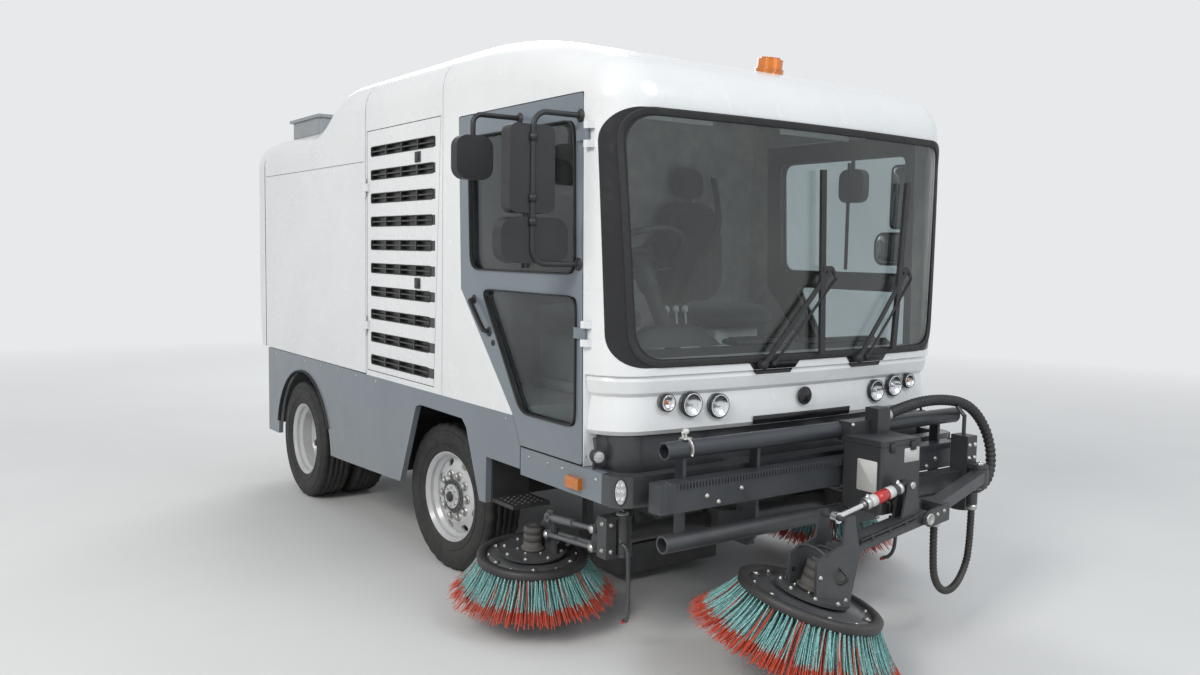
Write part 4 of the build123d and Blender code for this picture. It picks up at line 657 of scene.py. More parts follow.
def louvre_paint(white):
    """White paint outside; the louvre rows and every face that looks inwards are black."""
    m = Material("louvre_paint")
    pitch = LOUVRE_PITCH / 1000
    from_top = m.math("SUBTRACT", (LOUVRE_TOP + 1.5) / 1000, m.along("Z"))
    share = m.math("MODULO", m.math("ADD", from_top, pitch), pitch)
    band = m.ramp(share, (LOUVRE_H + 2.5) / 1000, (LOUVRE_H + 3.5) / 1000, 1.0, 0.0)
    rows = m.math("MULTIPLY", m.within("Y", *(place((0, y, 0))[0][1] for y in (-70, 734))), band)
    rows = m.math("MULTIPLY", rows, m.within("Z", (LOUVRE_TOP - 9.5 * LOUVRE_PITCH) / 1000, (LOUVRE_TOP + 2) / 1000))
    dark = m.math("MAXIMUM", rows, inward(m, tuple(place((0, 330, 1500))[0])))
    black = ((0.014, 0.014, 0.015), (0.024, 0.024, 0.025))
    return lined(m, dark, white, black, 0.22, 0.5, (0.5, 1.4, 0.07))


def bumper_paint(blue):
    """Blue-grey beside the cab; round the front corner and under the fascia the same paint is coloured near black, a
    painted shade.
    """
    m = Material("bumper_paint")
    # beside is 1 on the side faces from the cab's front to the axle; everywhere else the bumper gets the painted shade
    beside = m.within("Y", place((0, -1520, 0))[0][1], place((0, 0, 0))[0][1])
    beside = m.math("MULTIPLY", beside, m.ramp(m.off_centre(), 0.990, 0.992))
    plain = m.mix(m.ramp(m.noise(2.2, 3.0), 0.3, 0.7), *blue)
    # painted shade: the front corner and the face under the fascia, really the same blue-grey paint, coloured near
    # black
    dark = m.mix(m.ramp(m.noise(3.0, 4.0), 0.3, 0.7), (0.036, 0.040, 0.046), (0.027, 0.030, 0.0345))
    m.colour(dusty(m, m.mix(beside, dark, plain), 0.3, 1.0, 0.22))
    m.rough(m.ramp(m.noise(14.0, 5.0), 0.3, 0.75, 0.30, 0.46))
    m.bump(((m.noise(500.0, 2.0), 0.00002), (m.noise(6.0, 2.0), 0.0002)))
    m.set(Coat_Weight=0.3, Coat_Roughness=0.12)
    return m.material


# CAD node and its look
NODE_LOOKS = (
    ("front_fascia", "white"), ("tailgate", "hopper"), ("roof_outlet", "grey"), ("cab_shell", "cab"),
    ("engine_cover", "bay"), ("hopper_body", "hopper"), ("side_skirts", "blue"), ("windscreen", "glass"),
    ("wheel_housings", "plastic"), ("front_bumper", "bumper"), ("rear_bumper", "dark"), ("rear_lamps", "red"),
    ("tow_jaw", "cast"), ("headlamps", "clear"), ("driver_controls", "interior"), ("suction_nozzle", "gear"),
    ("brush_rails", "gear"), ("wipers", "plastic"), ("amber_lamps", "amber"), ("chassis_frame", "dark"),
    ("axles", "cast"), ("engine_block", "cast"), ("boom_carriage", "dark"), ("swing_arm", "gear"),
    ("forearm", "gear"), ("front_head", "gear"), ("tilt_cylinder", "gear"), ("tilt_rod", "chrome"),
)
# The same for nodes that come in a right and a left one
PAIR_LOOKS = (
    ("engine_door", "louvre"), ("cab_door", "door"), ("door_glass", "side_glass"), ("mirror", "plastic"),
    ("knuckle", "cast"), ("front_rim", "rim"), ("rear_rims", "rim"), ("brush_carrier", "gear"),
    ("brush_arms", "arm"), ("brush_link", "arm"), ("brush_head", "gear"),
)


# ---- Settings

def colour_setting(name, description, default):
    """A colour that a user may change."""
    return bpy.props.FloatVectorProperty(name=name, description=description, default=default, subtype="COLOR",
                                         min=0.0, max=1.0)


class SWEEPER_ColourSettings(bpy.types.PropertyGroup):
    """Colours of the paint and the bristles."""
    white: colour_setting("White", "Paint of the cab, engine doors and hopper", (0.78, 0.79, 0.79))
    white_shade: colour_setting("White, duller", "The same paint where its tone drifts", (0.73, 0.74, 0.745))
    blue: colour_setting("Blue-grey", "Paint of the cab doors and skirts", (0.165, 0.195, 0.225))
    blue_shade: colour_setting("Blue-grey, duller", "The same paint where its tone drifts", (0.145, 0.172, 0.20))
    bristle_root: colour_setting("Bristle root", "Darker tone of the bristles", (0.095, 0.29, 0.285))
    bristle: colour_setting("Bristle", "Lighter tone of the bristles", (0.34, 0.60, 0.57))
    tip: colour_setting("Bristle tip", "Ends of the bristles", (0.62, 0.085, 0.035))


class SWEEPER_BristleSettings(bpy.types.PropertyGroup):
    """Bristles of the three round brushes."""
    side_count: bpy.props.IntProperty(name="Side brush bristles", description="Bristles on each side brush",
                                      default=1150, min=100, max=4000)
    front_count: bpy.props.IntProperty(name="Front brush bristles", description="Bristles on the front brush",
                                       default=1350, min=100, max=4000)
    thickness: bpy.props.FloatProperty(name="Thickness", description="Width of one bristle", default=0.0062,
                                       subtype="DISTANCE", unit="LENGTH")
    spread: bpy.props.FloatProperty(name="Spread", description="Share by which a bristle's length and lean vary",
                                    default=0.12, min=0.0, max=0.4, subtype="FACTOR")


class SWEEPER_TyreSettings(bpy.types.PropertyGroup):
    """Tread of the tyres."""
    segments: bpy.props.IntProperty(name="Segments", description="Steps round a tyre, three to a lug", default=96,
                                    min=48, max=192)
    groove: bpy.props.FloatProperty(name="Groove depth", description="Depth of the tread grooves", default=0.010,
                                    subtype="DISTANCE", unit="LENGTH")


class SWEEPER_StageSettings(bpy.types.PropertyGroup):
    """Camera and light."""
    lens: bpy.props.FloatProperty(name="Lens", description="Focal length in millimetres on a 36 mm sensor",
                                  default=30.54, subtype="DISTANCE_CAMERA", unit="CAMERA")
    key: bpy.props.FloatProperty(name="Key light", description="Power of the key light", default=510.0,
                                 unit="POWER", subtype="POWER")
    fill: bpy.props.FloatProperty(name="Fill light", description="Power of the fill light", default=350.0,
                                  unit="POWER", subtype="POWER")
    sky: bpy.props.FloatProperty(name="Sky", description="Strength of the soft light from all round", default=0.55,
                                 subtype="FACTOR")


# ---- Camera, light and floor

CAMERA_AT = (-3276.1, -4667.3, 1655.0)
CAMERA_YAW = 35.337
CAMERA_PITCH = -4.8774
CAMERA_ROLL = 1.004
BACKDROP = (0.80, 0.815, 0.83)
FLOOR_HALF = 70.0
# name, place and aim in mm, size in metres, the setting that gives its power, colour
LIGHTS = (("key", (-8200, -3600, 6600), (0, -300, 1000), 3.2, "key", (1.0, 0.97, 0.93)),
          ("fill", (1500, -9000, 7400), (0, -800, 1000), 4.0, "fill", (0.92, 0.96, 1.0)),
          ("rear", (3500, 8200, 6500), (0, 800, 1200), 5.0, "fill", (1.0, 1.0, 1.0)))


def seen_rays(nodes, links, rays):
    """1 for rays that show the background: from the camera, off a mirror or through glass."""
    output = rays.outputs["Is Camera Ray"]
    for name in ("Is Transmission Ray", "Is Glossy Ray"):
        most = nodes.new("ShaderNodeMath")
        most.operation = "MAXIMUM"
        links.new(output, most.inputs[0])
        links.new(rays.outputs[name], most.inputs[1])
        output = most.outputs["Value"]
    return output


def area_light(name, spot, aim, size, power, colour):
    """Square soft light at a vehicle point in mm that looks at another."""
    data = bpy.data.lights.new(name, "AREA")
    data.size = size
    data.energy = power
    data.color = colour
    light = bpy.data.objects.new(name, data)
    spot, aim = place(spot)[0], place(aim)[0]
    light.location = spot
    light.rotation_euler = Vector(aim - spot).to_track_quat("-Z", "Y").to_euler()
    bpy.context.scene.collection.objects.link(light)


class SWEEPER_OT_stage(bpy.types.Operator):
    """Camera where the photographer stood, soft studio light and a pale floor"""
    bl_idname = "sweeper.stage"
    bl_label = "Stage"

    def execute(self, context):
        scene = context.scene
        settings = scene.sweeper_stage
        data = bpy.data.cameras.new("camera")
        data.sensor_width = 36.0
        data.lens = settings.lens
        data.clip_end = 500.0
        camera = bpy.data.objects.new("camera", data)
        yaw, pitch, roll = radians(CAMERA_YAW), radians(CAMERA_PITCH), radians(CAMERA_ROLL)
        ahead = Vector((sin(yaw) * cos(pitch), cos(yaw) * cos(pitch), sin(pitch)))
        level = ahead.cross(Vector((0, 0, 1))).normalized()
        above = level.cross(ahead)
        right = level * cos(roll) + above * sin(roll)
        up = above * cos(roll) - level * sin(roll)
        turn = Matrix((right, up, -ahead)).transposed().to_4x4()
        camera.matrix_world = Matrix.Translation(place(CAMERA_AT)[0]) @ turn
        scene.collection.objects.link(camera)
        scene.camera = camera

        world = bpy.data.worlds.new("sky")
        world.use_nodes = True
        nodes, links = world.node_tree.nodes, world.node_tree.links
        light = nodes["Background"]
        light.inputs["Color"].default_value = (0.90, 0.95, 1.0, 1.0)
        light.inputs["Strength"].default_value = settings.sky
        shown = nodes.new("ShaderNodeBackground")
        shown.inputs["Color"].default_value = (*BACKDROP, 1.0)
        seen = seen_rays(nodes, links, nodes.new("ShaderNodeLightPath"))
        mixed = blend_shaders(nodes, links, seen, light.outputs["Background"], shown.outputs["Background"])
        links.new(mixed, nodes["World Output"].inputs["Surface"])
        scene.world = world

        for name, spot, aim, size, power, colour in LIGHTS:
            area_light(name, spot, aim, size, getattr(settings, power), colour)

        m = Material("floor_pale")
        m.colour(m.mix(m.ramp(m.noise(0.7, 5.0), 0.3, 0.7), (0.70, 0.70, 0.69), (0.66, 0.66, 0.655)))
        m.rough(m.ramp(m.noise(3.0), 0.3, 0.7, 0.75, 0.9))
        m.bump(((m.noise(90.0, 4.0), 0.0003),))
        far = m.add("ShaderNodeVectorMath", operation="LENGTH")
        m.join(m.spot, far.inputs[0])
        seen = seen_rays(m.nodes, m.links, m.add("ShaderNodeLightPath"))
        fade = m.math("MULTIPLY", m.ramp(far.outputs["Value"], 4.5, 13.0), seen)
        haze = m.add("ShaderNodeEmission", Color=(*BACKDROP, 1.0), Strength=1.0)
        mixed = blend_shaders(m.nodes, m.links, fade, m.shader.outputs["BSDF"], haze.outputs["Emission"])
        m.join(mixed, m.nodes["Material Output"].inputs["Surface"])
        mesh = bpy.data.meshes.new("floor")
        corners = [(x * FLOOR_HALF, y * FLOOR_HALF, 0) for x, y in ((-1, -1), (1, -1), (1, 1), (-1, 1))]
        mesh.from_pydata(corners, [], [(0, 1, 2, 3)])
        mesh.materials.append(m.material)
        floor = bpy.data.objects.new("floor", mesh)
        scene.collection.objects.link(floor)
        scene.view_settings.view_transform = "Standard"
        return {"FINISHED"}


# ---- Hoses: each follows a NURBS line with the route's points as its control points

UPPER_ROUTE = ((280, -1800, 958), (450, -1798, 998), (680, -1796, 1006), (885, -1798, 970), (1010, -1806, 862),
               (1052, -1826, 730), (1004, -1852, 612), (900, -1862, 570), (815, -1862, 571))
LOWER_ROUTE = ((318.0, -2055.0, 550.0), (318.0, -2055.0, 347.1), (369.6, -2043.3, 255.5), (458.9, -2023.2, 202.6),
               (562.1, -1999.8, 202.6), (651.4, -1979.7, 255.5), (703.0, -1968.0, 347.1), (703.0, -1968.0, 550.0))


def route_line(name, route):
    """Points in mm along a NURBS line of order 3 that ends at the route's ends."""
    curve = bpy.data.curves.new(name, "CURVE")
    curve.dimensions = "3D"
    curve.resolution_u = 24
    spline = curve.splines.new("NURBS")
    spline.points.add(len(route) - 1)
    for point, spot in zip(spline.points, np.asarray(route, float)):
        point.co = (*spot, 1.0)
    spline.order_u = 3
    spline.use_endpoint_u = True
    holder = bpy.data.objects.new(name, curve)
    mesh = bpy.data.meshes.new_from_object(holder)
    points = np.array([vertex.co for vertex in mesh.vertices])
    bpy.data.objects.remove(holder)
    bpy.data.curves.remove(curve)
    bpy.data.meshes.remove(mesh)
    return points


def even_steps(points, step):
    """The same line with its points a step apart, and how far along it each of them lies."""
    run = np.concatenate([[0.0], np.cumsum(np.linalg.norm(np.diff(points, axis=0), axis=1))])
    at = np.linspace(0.0, run[-1], max(int(run[-1] / step), 2) + 1)
    return np.stack([np.interp(at, run, points[:, axis]) for axis in range(3)], -1), at


def ribbed_hose(shape, points, radius, pitch, depth):
    """Corrugated sheath along a line, and that line in even steps.

    P(s, a) = line(s) + r(s) (side cos a + top sin a), where r(s) = radius - depth (1 + cos(2 pi s / pitch)) / 2.
    """
    line, run = even_steps(points, pitch / 4)
    scale = 1.0 - depth / radius * 0.5 * (1.0 + np.cos(2 * pi * run / pitch))
    sweep(shape, line, circle(radius, 14), scale=scale)
    return line


class SWEEPER_OT_hoses(bpy.types.Operator):
    """Corrugated hose bundle over the carriage and the loop that hangs under the swing arm"""
    bl_idname = "sweeper.hoses"
    bl_label = "Hoses"

    def execute(self, context):
        shape = Shape()
        ribbed_hose(shape, route_line("upper_line", UPPER_ROUTE), 25.6, 24.0, 5.0)
        upper = shape.piece("hose_bundle", "hose", "boom")
        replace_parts(upper, "hose_upper")

        shape = Shape()
        path = ribbed_hose(shape, route_line("lower_line", LOWER_ROUTE), 16.8, 16.0, 3.2)
        lower = shape.piece("hose_loop", "hose", "boom_swing")
        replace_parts(lower, "hose_lower")

        cuffs = Shape()
        for start, after in (UPPER_ROUTE[:2], UPPER_ROUTE[:-3:-1]):
            way = unit(np.subtract(after, start))
            turned(cuffs, start, way, ((23, 2), (29, 4), (29, 26), (27.5, 30), (23, 31)), 20)
            turned(cuffs, start, way, ((29, 10), (30.6, 11), (30.6, 19), (29, 20)), 20)
        cuffs.piece("hose_cuffs", "steel", "boom")
        collars = Shape()
        for start in (LOWER_ROUTE[0], LOWER_ROUTE[-1]):
            turned(collars, start, (0, 0, -1), ((17, -2), (23, -2), (23, 22), (20, 26), (17, 26)), 20)
            turned(collars, start, (0, 0, -1), ((23, 6), (24.6, 7), (24.6, 15), (23, 16)), 20)
        collars.piece("hose_collars", "steel", "boom_swing")
        return {"FINISHED"}


# ---- Paint on the CAD pieces

class SWEEPER_OT_paint(bpy.types.Operator):
    """A detailed material on each CAD piece that stays in sight"""
    bl_idname = "sweeper.paint"
    bl_label = "Paint"

    def execute(self, context):
        MATERIALS.update(make_materials(context.scene.sweeper_colours))
        pairs = [(f"{node}_{side}", look) for node, look in PAIR_LOOKS for side, _ in SIDES]
        for node, look in (*NODE_LOOKS, *pairs):
            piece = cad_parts[node]
            piece.data.materials.clear()
            piece.data.materials.append(MATERIALS[look])
        return {"FINISHED"}


# ---- Brushes

# name, CAD node, body, disc centre, disc axis, disc radius, tip radius, drop
BRUSHES = (
    ("right", "side_brush_right", "sweeper_right", (-950, -900, 320), (-0.05, -0.08, 0.9955), 247, 380, 190),
    ("left", "side_brush_left", "sweeper_left", (950, -900, 320), (0.05, -0.08, 0.9955), 247, 380, 190),
    ("front", "front_brush", "front_sweeper", (-400, -2040, 358), (0.225, -0.159, 0.961), 285, 435, 208),
)
# Share of a turn between one bristle and the next, and the tufts round a disc that the bristles gather in
GOLDEN_SHARE = 0.6180339887
TUFTS = 90


def brush_disc(name):
    """Centre in mm and axis of a brush's disc."""
    row = next(row for row in BRUSHES if row[0] == name)
    return np.array(row[3], float), unit(row[4])


def bristles(centre, axis, disc_r, tip_r, drop, count, width, spread, seed):
    """Curved bristles in three rows under a disc.

    Bristle k leaves the disc at angle a_k and bends outwards: at share t of its length it lies at radius
    r = root + (reach - root)(0.75 t + 0.25 t^2) and depth d = 22 + (depth - 22) t (1.1 - 0.1 t) below the disc,
    and never lower than 4 mm over the ground. Its section is a triangle that narrows by 35% to the tip. It
    carries t as the attribute tip; about one in eight carries 0.9 all along, which is red.
    """
    rng = np.random.default_rng(seed)
    u, v = basis(axis)
    axis = unit(axis)
    row = np.arange(count) % 3
    turn = np.arange(count) * 2 * pi * GOLDEN_SHARE + rng.normal(0, 0.01, count)
    tuft = 2 * pi / TUFTS
    turn = np.round(turn / tuft) * tuft * 0.72 + turn * 0.28
    root = disc_r - 16 - 22 * row + rng.uniform(-7, 7, count)
    length = 1 + rng.uniform(-spread, spread * 0.2, count)
    reach = root + (tip_r - disc_r + 4 + 14 * rng.uniform(-1, 1, count) - 10 * row) * length
    depth = drop * (1 - 0.6 * (1 - length))
    lean = rng.normal(0, 0.035, count)
    t = np.array((0.0, 0.3, 0.6, 0.85, 1.0))
    radius = root[:, None] + (reach - root)[:, None] * (0.75 * t + 0.25 * t**2)
    below = 22 + (depth - 22)[:, None] * t * (1.1 - 0.1 * t)
    angle = turn[:, None] + lean[:, None] * t
    out = np.cos(angle)[..., None] * u + np.sin(angle)[..., None] * v
    line = np.asarray(centre, float) + radius[..., None] * out - below[..., None] * axis
    line[..., 2] = np.maximum(line[..., 2], 4.0)
    across = np.cross(out, axis)
    size = width * (1.0 - 0.35 * t)[None, :, None]
    ring = np.stack([line + across * size * 0.5, line - across * size * 0.5, line + out * size * 0.55], 2)
    verts = ring.reshape(-1, 3)
    stations = len(t)
    one = np.array(grid_faces(stations, 3, False, True))
    faces = (one[None] + (np.arange(count) * stations * 3)[:, None, None]).reshape(-1, 4)
    red = rng.random(count) < 0.12
    mark = np.where(red[:, None], 0.9, t[None, :])
    return verts, faces.tolist(), np.repeat(mark.reshape(-1), 3)


class SWEEPER_OT_brushes(bpy.types.Operator):
    """Three round brushes: a plate in a thick rim, bolts and rows of two-coloured bristles"""
    bl_idname = "sweeper.brushes"
    bl_label = "Brushes"

    def execute(self, context):
        settings = context.scene.sweeper_bristles
        for seed, (side, node, body, centre, axis, disc_r, tip_r, drop) in enumerate(BRUSHES):
            centre, way = np.array(centre, float), unit(axis)
            count = settings.front_count if side == "front" else settings.side_count
            verts, faces, tip = bristles(centre, axis, disc_r, tip_r, drop, count, settings.thickness * 1000,
                                         settings.spread, seed + 11)
            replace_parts(new_piece(f"bristles_{side}", verts, faces, "bristle", body, tip=tip), node)
            rim = Shape()
            turned(rim, centre, axis, ((disc_r - 44, -30), (disc_r - 40, -6), (disc_r - 34, 0), (disc_r - 8, 0),
                                       (disc_r, -6), (disc_r + 1, -20), (disc_r - 2, -34), (disc_r - 10, -40),
                                       (disc_r - 60, -40), (disc_r - 70, -30)), 96, True)
            rim.piece(f"brush_rim_{side}", "plastic", body)
            plate = Shape()
            turned(plate, centre, axis, ((15.2, -29), (15.2, -1), (36, -1), (40, -5), (disc_r - 96, -7),
                                         (disc_r - 84, -12), (disc_r - 42, -12), (disc_r - 42, -29), (16, -29)), 72)
            for spot in ring_spots(centre - 12 * way, axis, disc_r - 62, 6, pi / 6):
                turned(plate, spot, axis, ((6, 0), (17, 0), (17, 3.5), (7, 4.5)), 20)
            plate.piece(f"brush_plate_{side}", "gear", body)
            bolts = Shape()
            bolt_ring(bolts, centre - 12 * way, axis, disc_r - 54, 12, 11)
            for spot in ring_spots(centre - 8 * way, axis, disc_r - 62, 6, pi / 6):
                bolt(bolts, spot, axis, 13, 6)
            bolts.piece(f"brush_bolts_{side}", "steel", body)
        return {"FINISHED"}


# ---- Wheels

WHEELBASE = 1890.0
TYRE_R = 380.0
AXLE_Z = 380.0
KINGPIN_X = 665.0
# Steering angle of the front wheels as the machine rests, degrees, and their middle's distance from the kingpin
REST_STEER = 5.5
FRONT_HUB_OUT = 166.0
# Distances of the rear twins from the centre plane
REAR_OUTER = 921.0
REAR_INNER = 680.0


def front_hub(sx):
    """Middle of a front tyre in mm and its outward direction, steered as the machine rests."""
    out = np.array((sx * cos(radians(REST_STEER)), sx * sin(radians(REST_STEER)), 0.0))
    return np.array((sx * KINGPIN_X, 0.0, AXLE_Z)) + FRONT_HUB_OUT * out, out


def wheel_places():
    """Each tyre's name, body, middle in mm and outward direction, and the CAD node that it replaces or None."""
    places = []
    for side, sx in SIDES:
        places.append((f"front_{side}", f"front_wheel_{side}", *front_hub(sx), f"front_tyre_{side}"))
        for row, across, node in (("outer", REAR_OUTER, f"rear_tyres_{side}"), ("inner", REAR_INNER, None)):
            middle = (sx * across, WHEELBASE, AXLE_Z)
            places.append((f"rear_{row}_{side}", f"rear_wheels_{side}", middle, (sx, 0, 0), node))
    return places


# radius, out from the middle of the tyre; the grooves' bottoms are marked by their radius
TYRE_SECTION = (
    (228, -84), (236, -92), (250, -97), (262, -98), (266, -101), (300, -105), (330, -104), (352, -99), (364, -93),
    (374, -88), (379.6, -78), (379.8, -57), (370, -54), (370, -47), (379.9, -44), (380, -22), (370, -19), (370, -12),
    (380, -9), (380, 9), (370, 12), (370, 19), (380, 22), (379.9, 44), (370, 47), (370, 54), (379.8, 57),
    (379.6, 78), (374, 88), (364, 93), (352, 99), (330, 104), (300, 105), (266, 101), (262, 98), (250, 97),
    (236, 92), (228, 84))


class SWEEPER_OT_wheels(bpy.types.Operator):
    """Tyres with grooves and cut shoulder lugs, wheel nuts and hub caps"""
    bl_idname = "sweeper.wheels"
    bl_label = "Wheels"

    def execute(self, context):
        settings = context.scene.sweeper_tyres
        section = np.array(TYRE_SECTION, float)
        tread = section[:, 0] > 369.0
        section[section[:, 0] == 370.0, 0] = TYRE_R - settings.groove * 1000
        steps = settings.segments // 2 * 2

        def lugs(turn, index):
            """Radius scale: the shoulders drop by 2% in one step of three, the inner ribs by 0.7% in one of four."""
            step = np.round(turn / (2 * pi / steps)).astype(int)
            out = section[index, 1]
            cut = (step % 3 == 0) & tread[index] & (np.abs(out) > 55)
            sipe = ((step + np.sign(out).astype(int)) % 4 == 0) & tread[index] & (np.abs(out) < 45)
            return 1.0 - 0.020 * cut - 0.007 * sipe

        for name, body, centre, out, node in wheel_places():
            tyre = Shape()
            turned(tyre, centre, out, section, steps, wave=lugs)
            piece = tyre.piece(f"tyre_{name}", "tyre", body)
            if node:
                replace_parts(piece, node)
            bands = Shape()
            for sign in (-1, 1):
                for radius, width in ((343, 1.6), (322, 1.2), (272, 2.0)):
                    top = sign * (104.6 + width / 4)
                    turned(bands, centre, out, ((radius - 3, sign * 101.5), (radius - 1, top), (radius + 1, top),
                                                (radius + 3, sign * 100.5)), 64)
            bands.piece(f"tyre_bands_{name}", "tyre", body)

        for side, sx in SIDES:
            hub, out = front_hub(sx)
            nuts, dark, trim = Shape(), Shape(), Shape()
            bolt_ring(nuts, hub + 52 * out, out, 112, 10, 27, height=20)
            bolt_ring(nuts, hub + 76 * out, out, 48, 8, 10)
            turned(dark, hub, out, ((86, 61), (88, 62), (88, 66), (84, 68), (64, 68), (62, 66)), 48)
            for spot in ring_spots(hub + 68 * out, out, 75, 16):
                turned(trim, spot, out, ((5.5, 0), (5.5, 1.2), (3.5, 1.2), (3.0, 0.2), (0.1, 0.2)), 12)
            turned(trim, hub + 84 * out, out, ((27, 0), (27, 4), (22, 9), (0.1, 10)), 32)
            nuts.piece(f"wheel_nuts_front_{side}", "steel", f"front_wheel_{side}")
            dark.piece(f"hub_ring_front_{side}", "gear", f"front_wheel_{side}")
            trim.piece(f"hub_trim_front_{side}", "gloss", f"front_wheel_{side}")

            rear, flange = Shape(), Shape()
            out, face = (sx, 0, 0), (sx * 812.5, WHEELBASE, AXLE_Z)
            bolt_ring(rear, face, out, 118, 10, 27, height=22)
            bolt_ring(rear, (sx * 890.5, WHEELBASE, AXLE_Z), out, 57, 8, 11)
            turned(flange, (sx * 896, WHEELBASE, AXLE_Z), out, ((60, 0), (60, 3), (40, 6), (38, 14), (0.1, 16)), 40)
            turned(flange, face, out, ((96, 0), (98, 2), (98, 8), (94, 11), (73, 11)), 48)
            rear.piece(f"wheel_nuts_rear_{side}", "steel", f"rear_wheels_{side}")
            flange.piece(f"hub_cap_rear_{side}", "gear", f"rear_wheels_{side}")
        return {"FINISHED"}


# ---- Seals round the glass, seams and door furniture

NOSE_TOE = -1350.0
NOSE_FRONT = -1605.0
NOSE_CORNER_R = 215.0
SCREEN_LOW = 1215.0
SCREEN_TOP = 2190.0
SCREEN = ((905, SCREEN_LOW), (965, SCREEN_TOP), (-965, SCREEN_TOP), (-905, SCREEN_LOW))
UPPER_LIGHT = ((-420, 2165), (-450, 1560), (-1318, 1560), (-1300, 2165))
LOWER_LIGHT = ((-560, 1470), (-1328, 1470), (-1334, 950), (-915, 950))
CAB_DOOR = ((-318, 2266), (-351, 1462), (-838, 936), (-905, 806), (-1382, 806), (-1352, 2266))


def nose_y(x):
    """How far forward the nose reaches at a distance from the centre plane: a long arc between two corner arcs."""
    x = np.abs(np.asarray(x, float))
    depth = NOSE_TOE - NOSE_FRONT
    reach = BODY_HALF - NOSE_CORNER_R
    front_r = (reach**2 + depth**2 - NOSE_CORNER_R**2) / (2 * (depth - NOSE_CORNER_R))
    lean = np.arcsin(reach / (front_r - NOSE_CORNER_R))
    front = NOSE_FRONT + front_r - np.sqrt(front_r**2 - np.minimum(x, front_r)**2)
    corner = NOSE_TOE - np.sqrt(np.maximum(NOSE_CORNER_R**2 - (x - reach)**2, 0.0))
    return np.where(x < reach + NOSE_CORNER_R * np.sin(lean), front, corner)


def on_nose(x, back, z):
    """Points on the nose at x and height z, moved back by a distance, or forward where it is negative."""
    x = np.asarray(x, float)
    return np.column_stack([x, nose_y(x) + back, np.broadcast_to(z, x.shape)])


def dense(points, step):
    """A closed outline with points added so that none lie further apart than a step."""
    points = np.asarray(points, float)
    result = []
    for here, after in zip(points, np.roll(points, -1, 0)):
        count = max(int(np.linalg.norm(after - here) / step), 1)
        result.extend(here + (after - here) * i / count for i in range(count))
    return np.array(result)


def side_outline(outline, radius, x, step=25.0):
    """Closed path on the side plane at x from (along, up) corners, rounded."""
    path = dense(corner_path(outline, radius), step)
    return np.column_stack([np.full(len(path), x), path])


